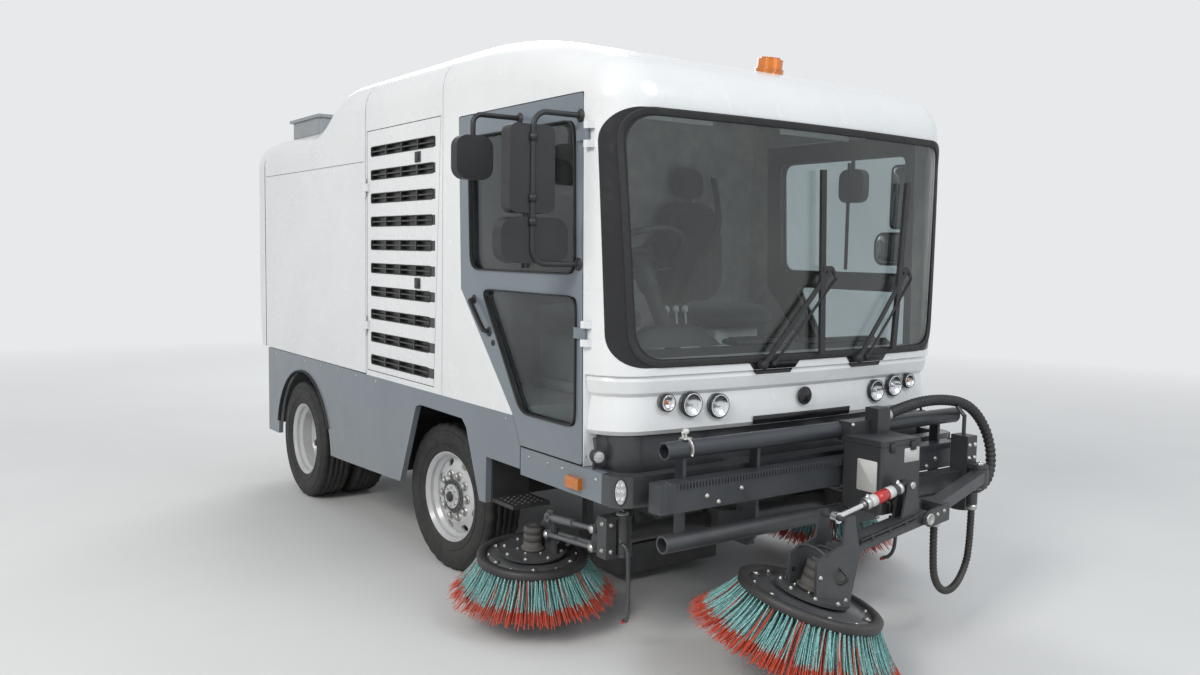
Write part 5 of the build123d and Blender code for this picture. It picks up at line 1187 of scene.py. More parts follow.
class SWEEPER_OT_seals(bpy.types.Operator):
    """Seals and black border of the windscreen, wiper wells, door seals and handles, bay latches, louvre frames"""
    bl_idname = "sweeper.seals"
    bl_label = "Seals"

    def execute(self, context):
        outline = dense(corner_path(SCREEN, 130.0, 17), 20.0)
        seal = Shape()
        sweep(seal, on_nose(outline[:, 0], -1.0, outline[:, 1]), rounded(30, 12, 5), closed=True, up=(0, 1, 0))
        seal.piece("windscreen_seal", "gasket", "chassis")

        # the black band spreads by 8.8% across at the foot, 4.9% at the top and 2.8% up and down
        middle = outline.mean(0)
        widen = 1.088 - 0.039 * (outline[:, 1] - SCREEN_LOW) / (SCREEN_TOP - SCREEN_LOW)
        rim = np.column_stack([outline[:, 0] * widen, middle[1] + (outline[:, 1] - middle[1]) * 1.028])
        band = Shape()
        rings = [outline + (rim - outline) * share for share in np.linspace(0, 1, 9)]
        band.add(np.stack([on_nose(ring[:, 0], -1.2, ring[:, 1]) for ring in rings]),
                 grid_faces(9, len(outline), False, True))
        band.piece("windscreen_band", "gloss", "chassis")

        inner = middle + (outline - middle) * (1 - np.array((20.0, 34.0)) / 950.0)
        border = Shape()
        border.add(np.stack([on_nose(ring[:, 0], 3.2, ring[:, 1]) for ring in (outline, inner)]),
                   grid_faces(2, len(outline), False, True))
        border.piece("windscreen_border", "gloss", "chassis")

        wells = Shape()
        for foot in (-280.0, 310.0):
            # height, distance behind the nose line, left end, right end
            rows = ((1204, -1.8, -60, 235), (1172, -1.8, -34, 204), (1169, 9.0, -32, 202), (1151, 3.2, -14, 182))
            wells.add(np.stack([on_nose(foot + np.linspace(left, right, 15), back, height)
                                for height, back, left, right in rows]), grid_faces(4, 15))
        wells.piece("wiper_wells", "gloss", "chassis")

        for side, sx in SIDES:
            body = f"cab_door_{side}"
            seals = Shape()
            for light, radius in ((UPPER_LIGHT, 70), (LOWER_LIGHT, 60)):
                sweep(seals, side_outline(light, radius, sx * SIDE_X), rounded(7, 22, 3), closed=True, up=(1, 0, 0))
            box_shape(seals, (sx * 1015, -914, 1575), (sx * 1027, -896, 2150), 3)
            seals.piece(f"door_seals_{side}", "gasket", body)

            edge = Shape()
            inset = np.array(CAB_DOOR, float)
            inset = inset.mean(0) + (inset - inset.mean(0)) * 0.988
            sweep(edge, side_outline(inset, 20, sx * 1008), rounded(26, 6, 2), closed=True, up=(1, 0, 0))
            edge.piece(f"door_edge_seal_{side}", "gasket", body)

            handle = Shape()
            grip = np.array(((1026, -478, 1420), (1046, -484, 1414), (1052, -500, 1400), (1052, -600, 1300),
                             (1046, -616, 1286), (1026, -622, 1280)), float) * (sx, 1, 1)
            sweep(handle, smooth_path(grip, 26), rounded(15, 24, 6), up=(1, 0, 0))
            for spot in ((-478, 1420), (-622, 1280)):
                turned(handle, (sx * SIDE_X, *spot), (sx, 0, 0), ((22, 0), (22, 3), (18, 6), (0.1, 7)), 20)
            turned(handle, (sx * SIDE_X, -660, 1232), (sx, 0, 0), ((14, 0), (14, 3), (11, 5), (10, 3), (0.1, 3)), 20)
            handle.piece(f"door_handle_{side}", "plastic", body)

            vent, latch = Shape(), Shape()
            for up_z in (2112, 1472):
                box_shape(latch, (sx * SIDE_X, 96, up_z - 27), (sx * 1031, 160, up_z + 27), 3)
                box_shape(latch, (sx * 1030, 108, up_z - 16), (sx * 1034, 140, up_z + 16), 2)
            latch.piece(f"bay_latches_{side}", "plastic", f"engine_door_{side}")
            for row in range(10):
                top, front = LOUVRE_TOP - LOUVRE_PITCH * row, -58.0 + 60.0 * row / 9
                slot = ((front, top + 3), (730, top + 3), (730, top - 50), (front, top - 50))
                path = side_outline(slot, 12, sx * (BODY_HALF - 0.2), 120.0)
                sweep(vent, path, rounded(3, 6, 1.2, 1), closed=True, up=(1, 0, 0))
            vent.piece(f"louvre_frames_{side}", "gasket", f"engine_door_{side}")
        return {"FINISHED"}


# ---- Front brush gear

class SWEEPER_OT_front_gear(bpy.types.Operator):
    """Rack, clamp, box lid, blank plates, bolts, pipes, cylinder tape, motor and guard of the front brush gear"""
    bl_idname = "sweeper.front_gear"
    bl_label = "Front gear"

    def execute(self, context):
        self.rails()
        self.carriage()
        self.arms()
        self.head()
        return {"FINISHED"}

    def rails(self):
        """Rack teeth along the beam, end plates with bolts, the clamp with its knob and the tube ends' rims."""
        rack = Shape()
        count, pitch = 106, 16.0
        x = -850.0 + pitch * np.arange(count)
        profile = np.array(((0.0, 0.0), (3.0, -7.0), (8.0, -7.0), (11.0, 0.0)))
        points = np.zeros((count, 2, 4, 3))
        points[..., 0] = x[:, None, None] + profile[None, None, :, 0]
        points[..., 1] = -1765.0 + profile[None, None, :, 1]
        points[..., 2] = np.array((760.0, 784.0))[None, :, None]
        tooth = np.array(((0, 1, 5, 4), (1, 2, 6, 5), (2, 3, 7, 6), (0, 3, 2, 1), (4, 5, 6, 7)))
        rack.add(points, (tooth + 8 * np.arange(count)[:, None, None]).reshape(-1, 4).tolist())
        rack.piece("beam_rack", "gear", "chassis", smooth=False)

        fittings, paintwork = Shape(), Shape()
        for sx in (-1, 1):
            panel(paintwork, (sx * 886, -1730, 730), (0, -sx, 0), UP, plate_outline(76, 124, 14), 7)
            for y_at, z_at in ((-1752, 688), (-1710, 770)):
                bolt(fittings, (sx * 893, y_at, z_at), (sx, 0, 0), 13)
            for tube_z in TUBE_HEIGHTS:
                rim = ((27.5, -4), (27.5, 1.5), (35.2, 1.5), (36, -2), (35.4, -6))
                turned(paintwork, (sx * 885, TUBE_Y, tube_z), (sx, 0, 0), rim, 40)
        paintwork.piece("rail_ends", "gear", "chassis")

        clamp = Shape()
        arc = np.linspace(-0.15 * pi, 1.15 * pi, 22)
        strap = np.column_stack([np.full(22, -780.0), TUBE_Y + 37.5 * np.cos(arc),
                                 TUBE_HEIGHTS[0] + 37.5 * np.sin(arc)])
        sweep(clamp, strap, rounded(26, 4, 1.2, 1), up=(1, 0, 0))
        box_shape(clamp, (-800, -1742, 941), (-760, -1708, 950), 2)
        clamp.piece("tube_clamp", "steel", "chassis")
        knob = Shape()
        turned(knob, (-780, TUBE_Y, 950), UP,
               ((5, 0), (5, 12), (9, 14), (13, 20), (13, 27), (9, 33), (0.1, 34)), 24)
        turned(knob, (-795, TUBE_Y, 950), UP, ((4, 0), (4, 16), (6, 18), (6, 22), (0.1, 24)), 16)
        knob.piece("clamp_knob", "plate", "chassis")

        for sx in (-1, 1):
            for x_at, z_at in ((700, 720), (640, 690), (520, 730)):
                bolt(fittings, (sx * x_at, -1766, z_at), AHEAD, 12)
        fittings.piece("rail_bolts", "steel", "chassis")

    def carriage(self):
        """Lid line, latches, blank plates and bolts of the carriage's box, and the mast's grease points."""
        x0, x1, y0, y1 = 50.0, 300.0, -1990.0, -1775.0
        trim = Shape()
        lid = corner_path(((x0 - 0.5, y0 - 0.5), (x1 + 0.5, y0 - 0.5), (x1 + 0.5, y1), (x0 - 0.5, y1)), 14)
        ring = np.column_stack([lid, np.full(len(lid), 872.0)])
        sweep(trim, ring, rounded(3, 6, 1, 1), closed=True)
        for x_at in (110, 240):
            box_shape(trim, (x_at - 16, y0 - 9, 846), (x_at + 16, y0 - 0.5, 884), 3)
        trim.piece("box_lid_seal", "plastic", "boom")

        lid_top = Shape()
        panel(lid_top, (175, -1882, 890), (1, 0, 0), (0, 1, 0), plate_outline(242, 208, 16), 5, 3)
        box_shape(lid_top, (60, -1984, 600), (290, -1980, 604), 1)
        lid_top.piece("box_lid", "dark", "boom")

        plates = Shape()
        panel(plates, (x0, -1912, 742), AHEAD, UP, plate_outline(104, 132, 8), 1.2, 0.5)
        panel(plates, (236, y0, 826), (1, 0, 0), UP, plate_outline(96, 60, 4), 1.0, 0.4)
        plates.piece("blank_plates", "plate", "boom")

        bolts = Shape()
        for x_at in (84, 264):
            for tube_z in TUBE_HEIGHTS:
                for dz in (-30, 30):
                    bolt(bolts, (x_at, -1800, tube_z + dz), AHEAD, 11)
        for z_at in (540, 600, 740, 800):
            for x_at in (760, 800):
                bolt(bolts, (x_at, -1905, z_at), AHEAD, 12)
        turned(bolts, (780, -1950, 718), UP,
               ((16, 0), (16, 5), (13, 8), (5, 8), (5, 13), (3, 15), (0.1, 15)), 20)
        turned(bolts, (780, -1950, 612), (0, 0, -1), ((16, 0), (16, 6), (13, 8), (0.1, 8)), 20)
        bolts.piece("carriage_bolts", "steel", "boom")

        pipes = Shape()
        for x_at, drop in ((92, 0), (112, 14), (132, 6)):
            path = corner_path(((x_at, -1992, 640 - drop), (x_at, -2004, 640 - drop), (x_at, -2004, 600),
                                (x_at + 60, -1975, 585), (x_at + 60, -1880, 583)), 14, 6, False)
            sweep(pipes, path, circle(5, 10))
            turned(pipes, (x_at, -1990, 640 - drop), AHEAD, ((9, 0), (9, 7), (7, 9), (5, 9)), 6)
        pipes.piece("carriage_pipes", "hose", "boom")

    def arms(self):
        """Pin caps, bolts, pipes and clips of both arms, and the tape and fittings of the tilt cylinder."""
        caps = Shape()
        for sy in (-1, 1):
            turned(caps, (215, ARM_Y + sy * 57, 580), (0, sy, 0), ((24, 0), (24, 4), (18, 6), (16, 3), (0.1, 3)), 24)
            for x_at, z_at in ((262, 594), (304, 604)):
                bolt(caps, (x_at, ARM_Y + sy * 57, z_at), (0, sy, 0), 10)
        caps.piece("elbow_caps", "steel", "boom_swing")

        joints = Shape()
        for sy in (-1, 1):
            turned(joints, (130, ARM_Y + sy * 27, 725), (0, sy, 0), ((15, 0), (15, 4), (10, 6), (0.1, 6)), 20)
        bolt(joints, (40, -2023, 566), (0, 1, 0), 12)
        bolt(joints, (-60, -2023, 555), (0, 1, 0), 12)
        joints.piece("forearm_bolts", "steel", "boom_forearm")

        lines = Shape()
        for dy, dz in ((-38, 8), (-38, -6), (38, 4)):
            path = smooth_path(((150, ARM_Y + dy, 588 + dz), (60, ARM_Y + dy * 1.05, 574 + dz),
                                (-60, ARM_Y + dy * 1.02, 556 + dz), (-190, ARM_Y + dy, 538 + dz)), 30)
            sweep(lines, path, circle(4.5, 10))
        lines.piece("forearm_pipes", "hose", "boom_forearm")
        clips = Shape()
        for share in (0.2, 0.5, 0.8):
            x_at, z_at = 150 - 340 * share, 588 - 50 * share
            for sy in (-1, 1):
                box_shape(clips, (x_at - 7, ARM_Y + sy * 31, z_at - 14), (x_at + 7, ARM_Y + sy * 44, z_at + 15), 2)
        clips.piece("forearm_clips", "plastic", "boom_forearm")

        root = np.array((130.0, ARM_Y, 725.0))
        way = unit((-420, 0, -80))
        for name, look, spans in (("white", "plate", ((96, 132), (204, 240))), ("red", "red_paint", ((132, 204),))):
            bands = Shape()
            for start, end in spans:
                turned(bands, root, way, ((24.1, start), (24.6, start + 0.3), (24.6, end - 0.3), (24.1, end)), 32)
            bands.piece(f"cylinder_tape_{name}", look, "boom_cylinder", slot="white_paint")
        gland = Shape()
        turned(gland, root, way, ((24, 240), (26, 242), (26, 264), (22, 268), (15, 271), (11.5, 271)), 32)
        turned(gland, root, way, ((24, 50), (26, 52), (26, 66), (24, 68)), 32)
        for share in (64, 250):
            spot = root + way * share + np.array((0, 0, 24.0))
            turned(gland, spot, UP, ((9, -4), (9, 4), (6, 6), (6, 12), (0.1, 12)), 12)
        gland.piece("cylinder_fittings", "steel", "boom_cylinder")

    def head(self):
        """Motor ribs and ports, flange bolts and the bent guard rod of the front brush's head."""
        centre, axis = brush_disc("front")
        u, v = basis(axis)
        bolts, motor, guard = Shape(), Shape(), Shape()
        for pitch_r, count, size in ((128, 8, 13), (74, 6, 10)):
            bolt_ring(bolts, centre + 19 * axis, axis, pitch_r, count, size)
        turned(motor, centre, axis,
               ((50, 22), (66, 22), (66, 30), (58, 34), (54, 34), (54, 58), (50.5, 60), (50.5, 66), (54, 68),
                (54, 92), (50.5, 94), (50.5, 100), (54, 102), (54, 124), (48, 132), (30, 137), (12, 138),
                (0.1, 138)), 48)
        for turn in (0.4, 1.3):
            way = cos(turn) * u + sin(turn) * v
            turned(motor, centre + 84 * axis + 52 * way, way,
                   ((15, 0), (15, 12), (11, 14), (11, 26), (8, 28), (0.1, 28)), 16)
        motor.piece("front_motor", "cast", "boom_head")
        for spot in ring_spots(centre + 131 * axis, axis, 34, 4, 0.3):
            bolt(bolts, spot, axis, 9)
        for y_at in (-2132, -1990):
            out = np.sign(y_at - ARM_Y)
            bolt(bolts, (-450, y_at - 3 * out, 452), (0, out, 0), 11)
        bolts.piece("front_head_bolts", "steel", "boom_head")

        bend = ((-92, 18), (-96, 120), (-70, 168), (0, 182), (60, 172))
        for beside in (-58, 40):
            path = [centre + a * u + h * axis + beside * v for a, h in bend]
            sweep(guard, smooth_path(path, 40), circle(6, 12))
        guard.piece("head_guard", "gear", "boom_head")

        pipes = Shape()
        for turn, bend in ((0.4, 30), (1.3, 46)):
            way = cos(turn) * u + sin(turn) * v
            start = centre + 84 * axis + 80 * way
            path = np.array([start - 6 * way, start + 16 * way, start + 30 * way + bend * axis,
                             start - 26 * way + (bend + 34) * axis, centre + 20 * way + (150 + bend / 4) * axis])
            sweep(pipes, smooth_path(path, 40), circle(6.5, 12))
        pipes.piece("motor_pipes", "hose", "boom_head")


# ---- Side brush gear

class SWEEPER_OT_side_gear(bpy.types.Operator):
    """Motors, bolts, washers and spray pipes of the side brushes"""
    bl_idname = "sweeper.side_gear"
    bl_label = "Side gear"

    def execute(self, context):
        for side, sx in SIDES:
            centre, axis = brush_disc(side)
            motor, bolts, washers, spray = Shape(), Shape(), Shape(), Shape()
            turned(motor, centre, axis,
                   ((38, 16), (52, 16), (52, 24), (44, 27), (42, 27), (42, 50), (38.5, 52), (38.5, 58), (42, 60),
                    (42, 84), (38.5, 86), (38.5, 92), (42, 94), (42, 114), (34, 121), (12, 127), (0.1, 127)), 40)
            motor.piece(f"side_motor_{side}", "cast", f"brush_head_{side}")
            bolt_ring(bolts, centre + 15 * axis, axis, 128, 8, 12)
            bolt_ring(bolts, centre + 15 * axis, axis, 66, 6, 9)
            bolts.piece(f"side_head_bolts_{side}", "steel", f"brush_head_{side}")

            for y_at, z_at in ((-1320.0, 440.0), (-975.0, 412.0)):
                turned(washers, (sx * 934, y_at, z_at), (sx, 0, 0),
                       ((10, 0), (18, 0), (18, 2.5), (12, 3), (12, 6), (9, 8), (0.1, 8)), 20)
            washers.piece(f"arm_washers_{side}", "steel", f"brush_arms_{side}")

            carrier = Shape()
            turned(carrier, (sx * 938, -1330, 520), (sx, 0, 0), ((10, 0), (17, 0), (17, 3), (11, 5), (0.1, 6)), 20)
            for z_at in (445, 555):
                bolt(carrier, (sx * 930, -1394, z_at), (sx, 0, 0), 12)
                bolt(carrier, (sx * 905, -1425, z_at), AHEAD, 12)
            turned(carrier, (sx * 830, -1400, 585), UP,
                   ((30, 0), (30, 4), (20, 8), (6, 9), (5, 16), (0.1, 17)), 24)
            carrier.piece(f"carrier_bolts_{side}", "steel", f"brush_swing_{side}")

            route = ((sx * 850, -1428, 470), (sx * 842, -1452, 440), (sx * 838, -1456, 330), (sx * 834, -1452, 200),
                     (sx * 822, -1430, 150), (sx * 812, -1404, 138))
            sweep(spray, smooth_path(route, 48), circle(9, 14))
            turned(spray, (sx * 850, -1418, 478), (0, -1, -0.6), ((14, -6), (14, 12), (11, 14), (9, 14)), 16)
            spray.piece(f"spray_pipe_{side}", "gear", f"brush_swing_{side}")
            tip = Shape()
            for dx in (-12, 0, 12):
                turned(tip, (sx * 812 + dx, -1402, 134), (0, 0.3, -1), ((6, -6), (6, 6), (4.5, 10), (0.1, 10)), 12)
            tip.piece(f"spray_tip_{side}", "red_paint", f"brush_swing_{side}")
        return {"FINISHED"}


# ---- Lamps, bumper and body fittings

class SWEEPER_OT_lamps(bpy.types.Operator):
    """Headlamp bowls, bezels and bulbs, fascia disc and slot, corner and work lamps, screws and the beacon's foot"""
    bl_idname = "sweeper.lamps"
    bl_label = "Lamps and fittings"

    def execute(self, context):
        bezels, bowls, rings, bulbs, amber = Shape(), Shape(), Shape(), Shape(), Shape()
        for sx in (-1, 1):
            for across, height, radius in ((743, 1059, 35), (625, 1045, 50), (487, 1031, 50)):
                front = np.array((sx * across, float(nose_y(across)), height))
                turned(bezels, front, AHEAD, ((radius + 1, -14), (radius + 1, 1), (radius - 1, 3), (radius - 3, 2),
                                            (radius - 4, -6)), 40)
                turned(bowls, front, AHEAD, ((radius - 4, -1), (radius * 0.78, -9), (radius * 0.45, -17),
                                           (radius * 0.2, -20), (0.1, -20)), 40)
                turned(rings, front, AHEAD, ((radius - 3, 2.2), (radius - 5.5, 3.4), (radius - 8, 1.8)), 40)
                shape = amber if radius == 35 else bulbs
                turned(shape, front, AHEAD, ((9, -18), (9, -8), (6, -4), (0.1, -3)), 16)
        bezels.piece("lamp_bezels", "plastic", "chassis")
        bowls.piece("lamp_bowls", "chrome", "chassis")
        rings.piece("lamp_rings", "chrome", "chassis")
        bulbs.piece("lamp_bulbs", "white_lens", "chassis")
        amber.piece("lamp_bulbs_amber", "amber", "chassis")

        disc = Shape()
        turned(disc, (0, float(nose_y(0)) + 12, 1042), (0, -1, 0.03),
               ((39, 0), (39, 8), (36, 10), (33, 8), (30, 9), (0.1, 11)), 48)
        disc.piece("badge_disc", "gloss", "chassis")

        slot = Shape()
        x, rows = np.linspace(-300, 300, 41), ((938, 11.5), (940, 10.0), (972, 7.0), (974, 9.0))
        slot.add(np.stack([on_nose(x, back, z_at) for z_at, back in rows]), grid_faces(4, 41))
        slot.piece("fascia_slot", "gloss", "chassis")

        stem, work = Shape(), Shape()
        oval = circle(1.0, 40)
        for sx in (-1, 1):
            lamp = np.array((sx * 1003.0, -1462.0, 852.0))
            turned(stem, lamp, (sx * 0.25, -1, 0),
                   ((0.1, -38), (18, -36), (27, -26), (31, -8), (31, 6), (28, 12), (24, 13), (23, 9)), 32)
            turned(work, lamp, (sx * 0.25, -1, 0), ((23, 9), (15, 12), (0.1, 13)), 32)
            sweep(stem, smooth_path((lamp + (0, 20, -20), lamp + (0, 24, -45), (lamp[0] - sx * 6, -1440, 797)), 12),
                  circle(9, 12))
            sweep(stem, smooth_path((lamp + (0, 10, 20), lamp + (0, 20, 50), (lamp[0] - sx * 4, -1430, 920)), 12),
                  circle(7, 12))
            led = np.array((sx * 985.0, -1592.0, 742.0))
            way = unit((sx * 0.62, -0.78, 0.0))
            side = unit(np.cross(way, UP))
            tilt = np.array((0.0, 0.0, 1.0))
            # distance forward, half width, half height
            case = ((2, 16, 40), (14, 24, 50), (30, 27, 54), (36, 26, 53), (38, 23, 50), (35, 21, 47))
            for shape, ovals in ((stem, case), (work, ((35, 21, 47), (36.5, 14, 32), (37, 0.5, 1)))):
                shape.add(np.stack([led + way * d + oval[:, :1] * w * side + oval[:, 1:] * h * tilt
                                    for d, w, h in ovals]), grid_faces(len(ovals), 40, False, True))
            for fin in range(7):
                z_at = -36 + 12 * fin
                wide = 25 * sqrt(max(0.05, 1 - (z_at / 54)**2))
                corners = [led + way * d + side * s * wide + tilt * (z_at + dz)
                           for d in (0, 30) for s in (-1, 1) for dz in (-1.5, 1.5)]
                stem.add(corners, [[0, 1, 3, 2], [4, 6, 7, 5], [0, 4, 5, 1], [2, 3, 7, 6], [0, 2, 6, 4], [1, 5, 7, 3]])
            for row in range(3):
                for column in range(2):
                    spot = led + way * 35.5 + side * (column - 0.5) * 18 + tilt * (row - 1) * 26
                    turned(work, spot, way, ((8.5, 0), (8.5, 3), (5, 5), (0.1, 5.5)), 16)
        stem.piece("work_lamp_cases", "plastic", "chassis")
        work.piece("work_lamp_glass", "white_lens", "chassis")

        screws, ring = Shape(), Shape()
        for sx in (-1, 1):
            for y_at in (-1480, -1240, -1130, -980):
                bolt(screws, (sx * BODY_HALF, y_at, 766), (sx, 0, 0), 9, 4)
            for y_at in range(-780, 2560, 290):
                if y_at > 400 or y_at < -560:
                    bolt(screws, (sx * BODY_HALF, y_at, 905), (sx, 0, 0), 8, 3)
        for x_at in range(-820, 821, 205):
            bolt(screws, (x_at, float(-1640 - 26 * (1 - (x_at / 960)**2)), 700), AHEAD, 10, 5)
        screws.piece("body_screws", "steel", "chassis")
        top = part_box("amber_lamps")[1].z * 1000
        turned(ring, (480, -820, top - 88), UP, ((58, 0), (60, 3), (60, 14), (54, 18), (50, 18)), 48)
        ring.piece("beacon_foot", "plastic", "chassis")
        return {"FINISHED"}


# ---- Cab interior

def cushion(shape, centre, width, depth, height, lean, crown, channels):
    """Stuffed form: a superellipsoid |x/a|^p + |y/b|^p + |z/c|^p = 1 whose faces crown and whose sides pull in.

    Points follow from angles (s, t) by signed powers 2/p of their sines and cosines. Channels are sewn grooves:
    at a share q of the width the top drops by depth d as exp(-((x - q)/w)^2). Lean turns the form about x.
    """
    a, b, c, p = width / 2, depth / 2, height / 2, 3.2
    s = np.linspace(-pi, pi, 40, endpoint=False)[:, None]
    t = np.linspace(-pi / 2, pi / 2, 30)[None, :]

    def power_of(value):
        """The value's size to the power 2/p, with its sign."""
        return np.sign(value) * np.abs(value)**(2 / p)

    x = a * power_of(np.cos(t)) * power_of(np.cos(s))
    y = b * power_of(np.cos(t)) * power_of(np.sin(s))
    z = c * power_of(np.sin(t)) * np.ones_like(s)
    z = z * (1 + crown * (1 - (x / a)**2) * (1 - (y / b)**2))
    for way, share, groove, wide in channels:
        across = x / a if way == "x" else y / b
        z = z - np.sign(z) * groove * np.exp(-((across - share) / wide)**2) * (np.abs(z) > 0.3 * c)
    turn = radians(lean)
    points = np.stack([x, y * cos(turn) - z * sin(turn), y * sin(turn) + z * cos(turn)], -1)
    shape.add(points + centre, grid_faces(40, 30, True))


class SWEEPER_OT_cab(bpy.types.Operator):
    """Seats, belts, dashboard and gauges, console with levers and pedals, column, roof console and floor mat"""
    bl_idname = "sweeper.cab"
    bl_label = "Cab interior"

    def execute(self, context):
        first = None
        for side, sx in SIDES:
            x = sx * 440.0
            # name, middle, width, depth, height, lean, crown and sewn channels
            parts = (
                ("seat_base", (x, -545, 1325), 470, 500, 125, 0.0, 0.16,
                 (("x", -0.55, 9, 0.07), ("x", 0.55, 9, 0.07), ("y", 0.1, 5, 0.06))),
                ("seat_back", (x, -282, 1655), 460, 560, 92, 84.5, 0.18,
                 (("x", -0.55, 9, 0.07), ("x", 0.55, 9, 0.07), ("y", -0.1, 5, 0.05), ("y", 0.45, 5, 0.05))),
                ("head_rest", (x, -247, 2035), 215, 165, 68, 86.0, 0.2, ()),
            )
            for name, *form in parts:
                shape = Shape()
                cushion(shape, *form)
                piece = shape.piece(f"{name}_{side}", "fabric", "chassis")
                first = first or piece
            seat = Shape()
            box_shape(seat, (x - 165, -700, 972), (x + 165, -330, 1020), 8)
            box_shape(seat, (x - 150, -690, 1020), (x + 150, -350, 1262), 14)
            for rail in (-48, 48):
                turned(seat, (x + rail, -247, 1900), (0, 0.05, 1), ((7, 0), (7, 80), (0.1, 80)), 12)
            seat.piece(f"seat_frame_{side}", "trim", "chassis")
            belt = Shape()
            path = smooth_path(((x + sx * 215, -225, 2080), (x + sx * 160, -330, 1800), (x - sx * 30, -380, 1560),
                                (x - sx * 190, -470, 1380)), 40)
            sweep(belt, path, rounded(46, 2.4, 1, 1), up=(0, -1, 0.4))
            box_shape(belt, (x - sx * 200 - 14, -500, 1290), (x - sx * 200 + 14, -460, 1372), 4)
            belt.piece(f"seat_belt_{side}", "gasket", "chassis", slot="seat_fabric")
        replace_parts(first, "cab_seats")

        dash, faces = Shape(), Shape()
        hood = []
        x = np.linspace(-250, 250, 25)
        for share in np.linspace(0, 1, 9):
            y_at = -1290 + 120 * share
            z_at = 1245 + 95 * np.sin(pi * share * 0.85) * (1 - (x / 252)**4)
            hood.append(np.column_stack([x - 450, np.full(25, y_at), z_at]))
        dash.add(np.stack(hood), grid_faces(9, 25))
        for gauge_x in (-540, -450, -360):
            turned(dash, (gauge_x, -1190, 1285), (0, 0.75, 0.55), ((34, -10), (34, 2), (30, 4), (28, 0)), 28)
            turned(faces, (gauge_x, -1190, 1285), (0, 0.75, 0.55), ((29, 0.4), (0.1, 0.6)), 28)
        box_shape(dash, (-120, -1300, 1235), (160, -1180, 1262), 8)
        for column in range(5):
            box_shape(dash, (-96 + column * 46, -1250, 1262), (-64 + column * 46, -1200, 1270), 3)
        box_shape(dash, (300, -1310, 1225), (820, -1230, 1250), 10)
        dash.piece("dashboard_hood", "interior", "chassis")
        faces.piece("gauge_faces", "plate", "chassis")

        console = Shape()
        box_shape(console, (-130, -760, 972), (130, -330, 1230), 30)
        for lever_x in (-60, 0, 60):
            sweep(console, smooth_path(((lever_x, -700, 1225), (lever_x, -712, 1300), (lever_x, -704, 1352)), 10),
                  circle(6, 10))
            turned(console, (lever_x, -704, 1350), (0, 0.1, 1), ((6, -4), (15, 4), (18, 18), (14, 32), (0.1, 37)), 20)
        for pedal_x in (-540, -450, -370):
            box_shape(console, (pedal_x - 28, -1180, 880), (pedal_x + 28, -1168, 960), 4)
            sweep(console, ((pedal_x, -1176, 950), (pedal_x, -1200, 1100), (pedal_x, -1210, 1180)), circle(7, 8))
        console.piece("console", "trim", "chassis")

        wheel = Shape()
        spot, way = np.array((-450.0, -960.0, 1640.0)), unit((0, 330, 490))
        turned(wheel, spot - 8 * way, way, ((30, -16), (58, -8), (66, 4), (60, 16), (30, 22), (0.1, 23)), 40)
        turned(wheel, spot - 190 * way, way, ((38, 0), (46, 10), (46, 120), (38, 150), (36, 160)), 32)
        for sign in (-1, 1):
            sweep(wheel, (spot - 90 * way + (sign * 40, 0, 0), spot - 80 * way + (sign * 150, -10, 6)), circle(8, 10),
                  scale=(1.0, 0.7))
        wheel.piece("column_trim", "interior", "chassis")

        roof = Shape()
        box_shape(roof, (-560, -1200, 2318), (560, -1080, 2360), 14)
        for visor_x in (-450, 450):
            box_shape(roof, (visor_x - 240, -1190, 2215), (visor_x + 240, -1176, 2320), 6)
        roof.piece("roof_console", "trim", "chassis")
        mat = Shape()
        x, y = np.meshgrid(np.linspace(-940, 940, 61), np.linspace(-1140, -890, 13), indexing="ij")
        mat.add(np.stack([x, y, 843 + 2.0 * (np.sin(x / 10.0)**2)], -1), grid_faces(61, 13))
        mat.piece("floor_mat", "gasket", "chassis")
        return {"FINISHED"}


# ---- Mirrors, wipers and body seams

